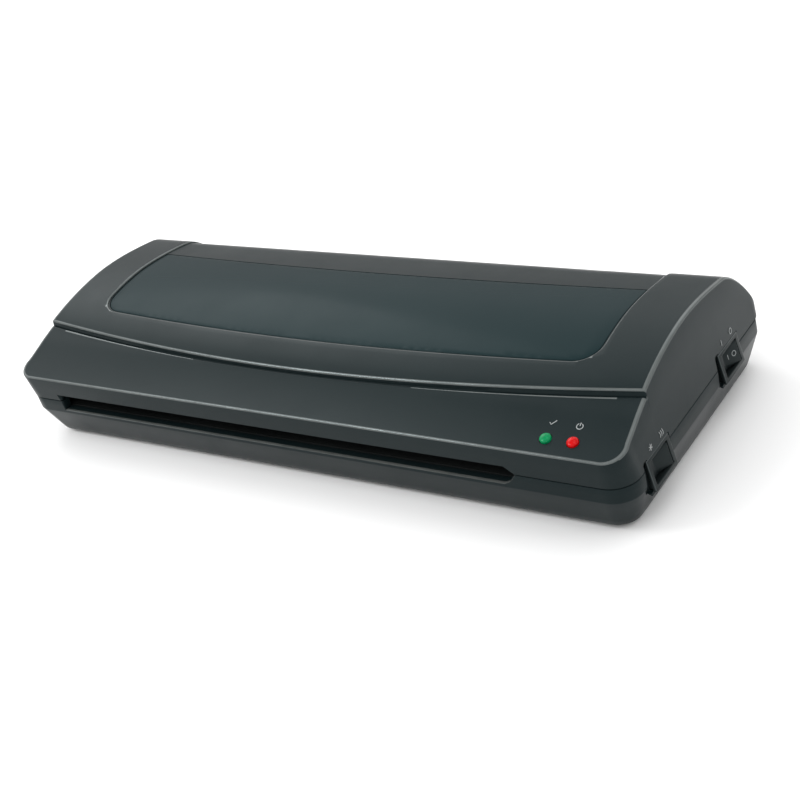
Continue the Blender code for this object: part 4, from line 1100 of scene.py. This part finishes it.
build_cover()
build_window()
build_housing()
for label in SWITCHES:
    build_switch(label)
    build_rocker(label)
for label, where in LAMPS.items():
    build_lens(label, where)
foot_names = ("foot_front_left", "foot_front_right", "foot_rear_left", "foot_rear_right")
for label, (px, py) in zip(foot_names, FEET):
    build_foot(label, px, py)
build_gland()
for label, (px, py) in zip(("front_left", "rear_left", "front_right", "rear_right"), POSTS):
    build_screw("case_screw_" + label, px, py)
build_marks()


# ---- floor, light, camera


def stage_material():
    made, tree, shader = node_material("floor_look")
    tone = ramp(tree, noise(tree, 3, 3.0), 0, 1, 0.3, 0.7)
    tree.links.new(blend_colour(tree, tone, (0.84, 0.84, 0.84), (0.85, 0.85, 0.85)), shader.inputs["Base Color"])
    shader.inputs["Roughness"].default_value = 0.9
    shader.inputs["Specular IOR Level"].default_value = 0.1
    return made


def build_floor():
    shape = bmesh.new()
    bmesh.ops.create_grid(shape, x_segments=8, y_segments=8, size=6)
    mesh = bpy.data.meshes.new("floor")
    shape.to_mesh(mesh)
    shape.free()
    mesh.materials.append(stage_material())
    floor = bpy.data.objects.new("floor", mesh)
    bpy.context.scene.collection.objects.link(floor)


def area_light(name, place, target, size, power):
    light = bpy.data.lights.new(name, "AREA")
    light.shape = "RECTANGLE"
    light.size = light.size_y = size
    light.energy = power
    lamp = bpy.data.objects.new(name, light)
    lamp.location = place
    lamp.rotation_euler = (Vector(target) - Vector(place)).to_track_quat("-Z", "Y").to_euler()
    bpy.context.scene.collection.objects.link(lamp)


def build_light():
    """A pale surround, brightest half way up and dark overhead, with softboxes to the front left and right."""
    world = bpy.data.worlds.new("studio")
    world.use_nodes = True
    tree = world.node_tree
    where = add(tree, "ShaderNodeTexCoord")
    way = add(tree, "ShaderNodeSeparateXYZ")
    tree.links.new(where.outputs["Generated"], way.inputs[0])
    glow = ramp(tree, way.outputs["Z"], 0.6, 2.1, 0.2, 0.62)
    for dimmer in (
        ramp(tree, way.outputs["Z"], 1.0, 0.05, 0.77, 0.96),
        ramp(tree, way.outputs["X"], 1.0, 0.6, 0.2, 0.8),
    ):
        mix = add(tree, "ShaderNodeMath", operation="MULTIPLY")
        tree.links.new(glow, mix.inputs[0])
        tree.links.new(dimmer, mix.inputs[1])
        glow = mix.outputs[0]
    back = tree.nodes["Background"]
    back.inputs["Color"].default_value = (1, 1, 1, 1)
    tree.links.new(glow, back.inputs["Strength"])
    bpy.context.scene.world = world
    area_light("front_left", (-0.88, -0.75, 1.12), (0, 0, 0), 0.45, 6.5)
    area_light("right", (1.2, 0.1, 0.75), (0.1, 0, 0.03), 0.28, 1)
    area_light("top", (0.25, -0.1, 1.7), (0.25, -0.1, 0), 1.2, 8)
    area_light("back_left", (-0.96, 0.56, 1.1), (0, 0, 0.03), 0.6, 2.5)


def build_camera():
    """A camera above the front right corner, slightly rolled, its lens shifted off centre."""
    azimuth, elevation, distance, roll = 0.7056919, 0.4784043, 0.6964633, -0.2594619
    level = math.cos(elevation)
    out = Vector((math.sin(azimuth) * level, -math.cos(azimuth) * level, math.sin(elevation)))
    right = (-out).cross(Vector((0, 0, 1))).normalized()
    up = right.cross(-out)
    c, s = math.cos(roll), math.sin(roll)
    right, up = c * right + s * up, -s * right + c * up
    turn = Matrix((right, up, out)).transposed()
    data = bpy.data.cameras.new("camera")
    data.sensor_width = 36.0
    data.lens = 65.048229
    data.shift_x, data.shift_y = 0.04535625, -0.0609725
    data.clip_start = 0.01
    camera = bpy.data.objects.new("camera", data)
    place = Vector((SHIFT.x, SHIFT.y - 0.001, 0.03)) + out * distance
    camera.matrix_world = Matrix.Translation(place) @ turn.to_4x4()
    bpy.context.scene.collection.objects.link(camera)
    bpy.context.scene.camera = camera


build_floor()
build_light()
build_camera()
bpy.context.scene.view_settings.view_transform = "Standard"
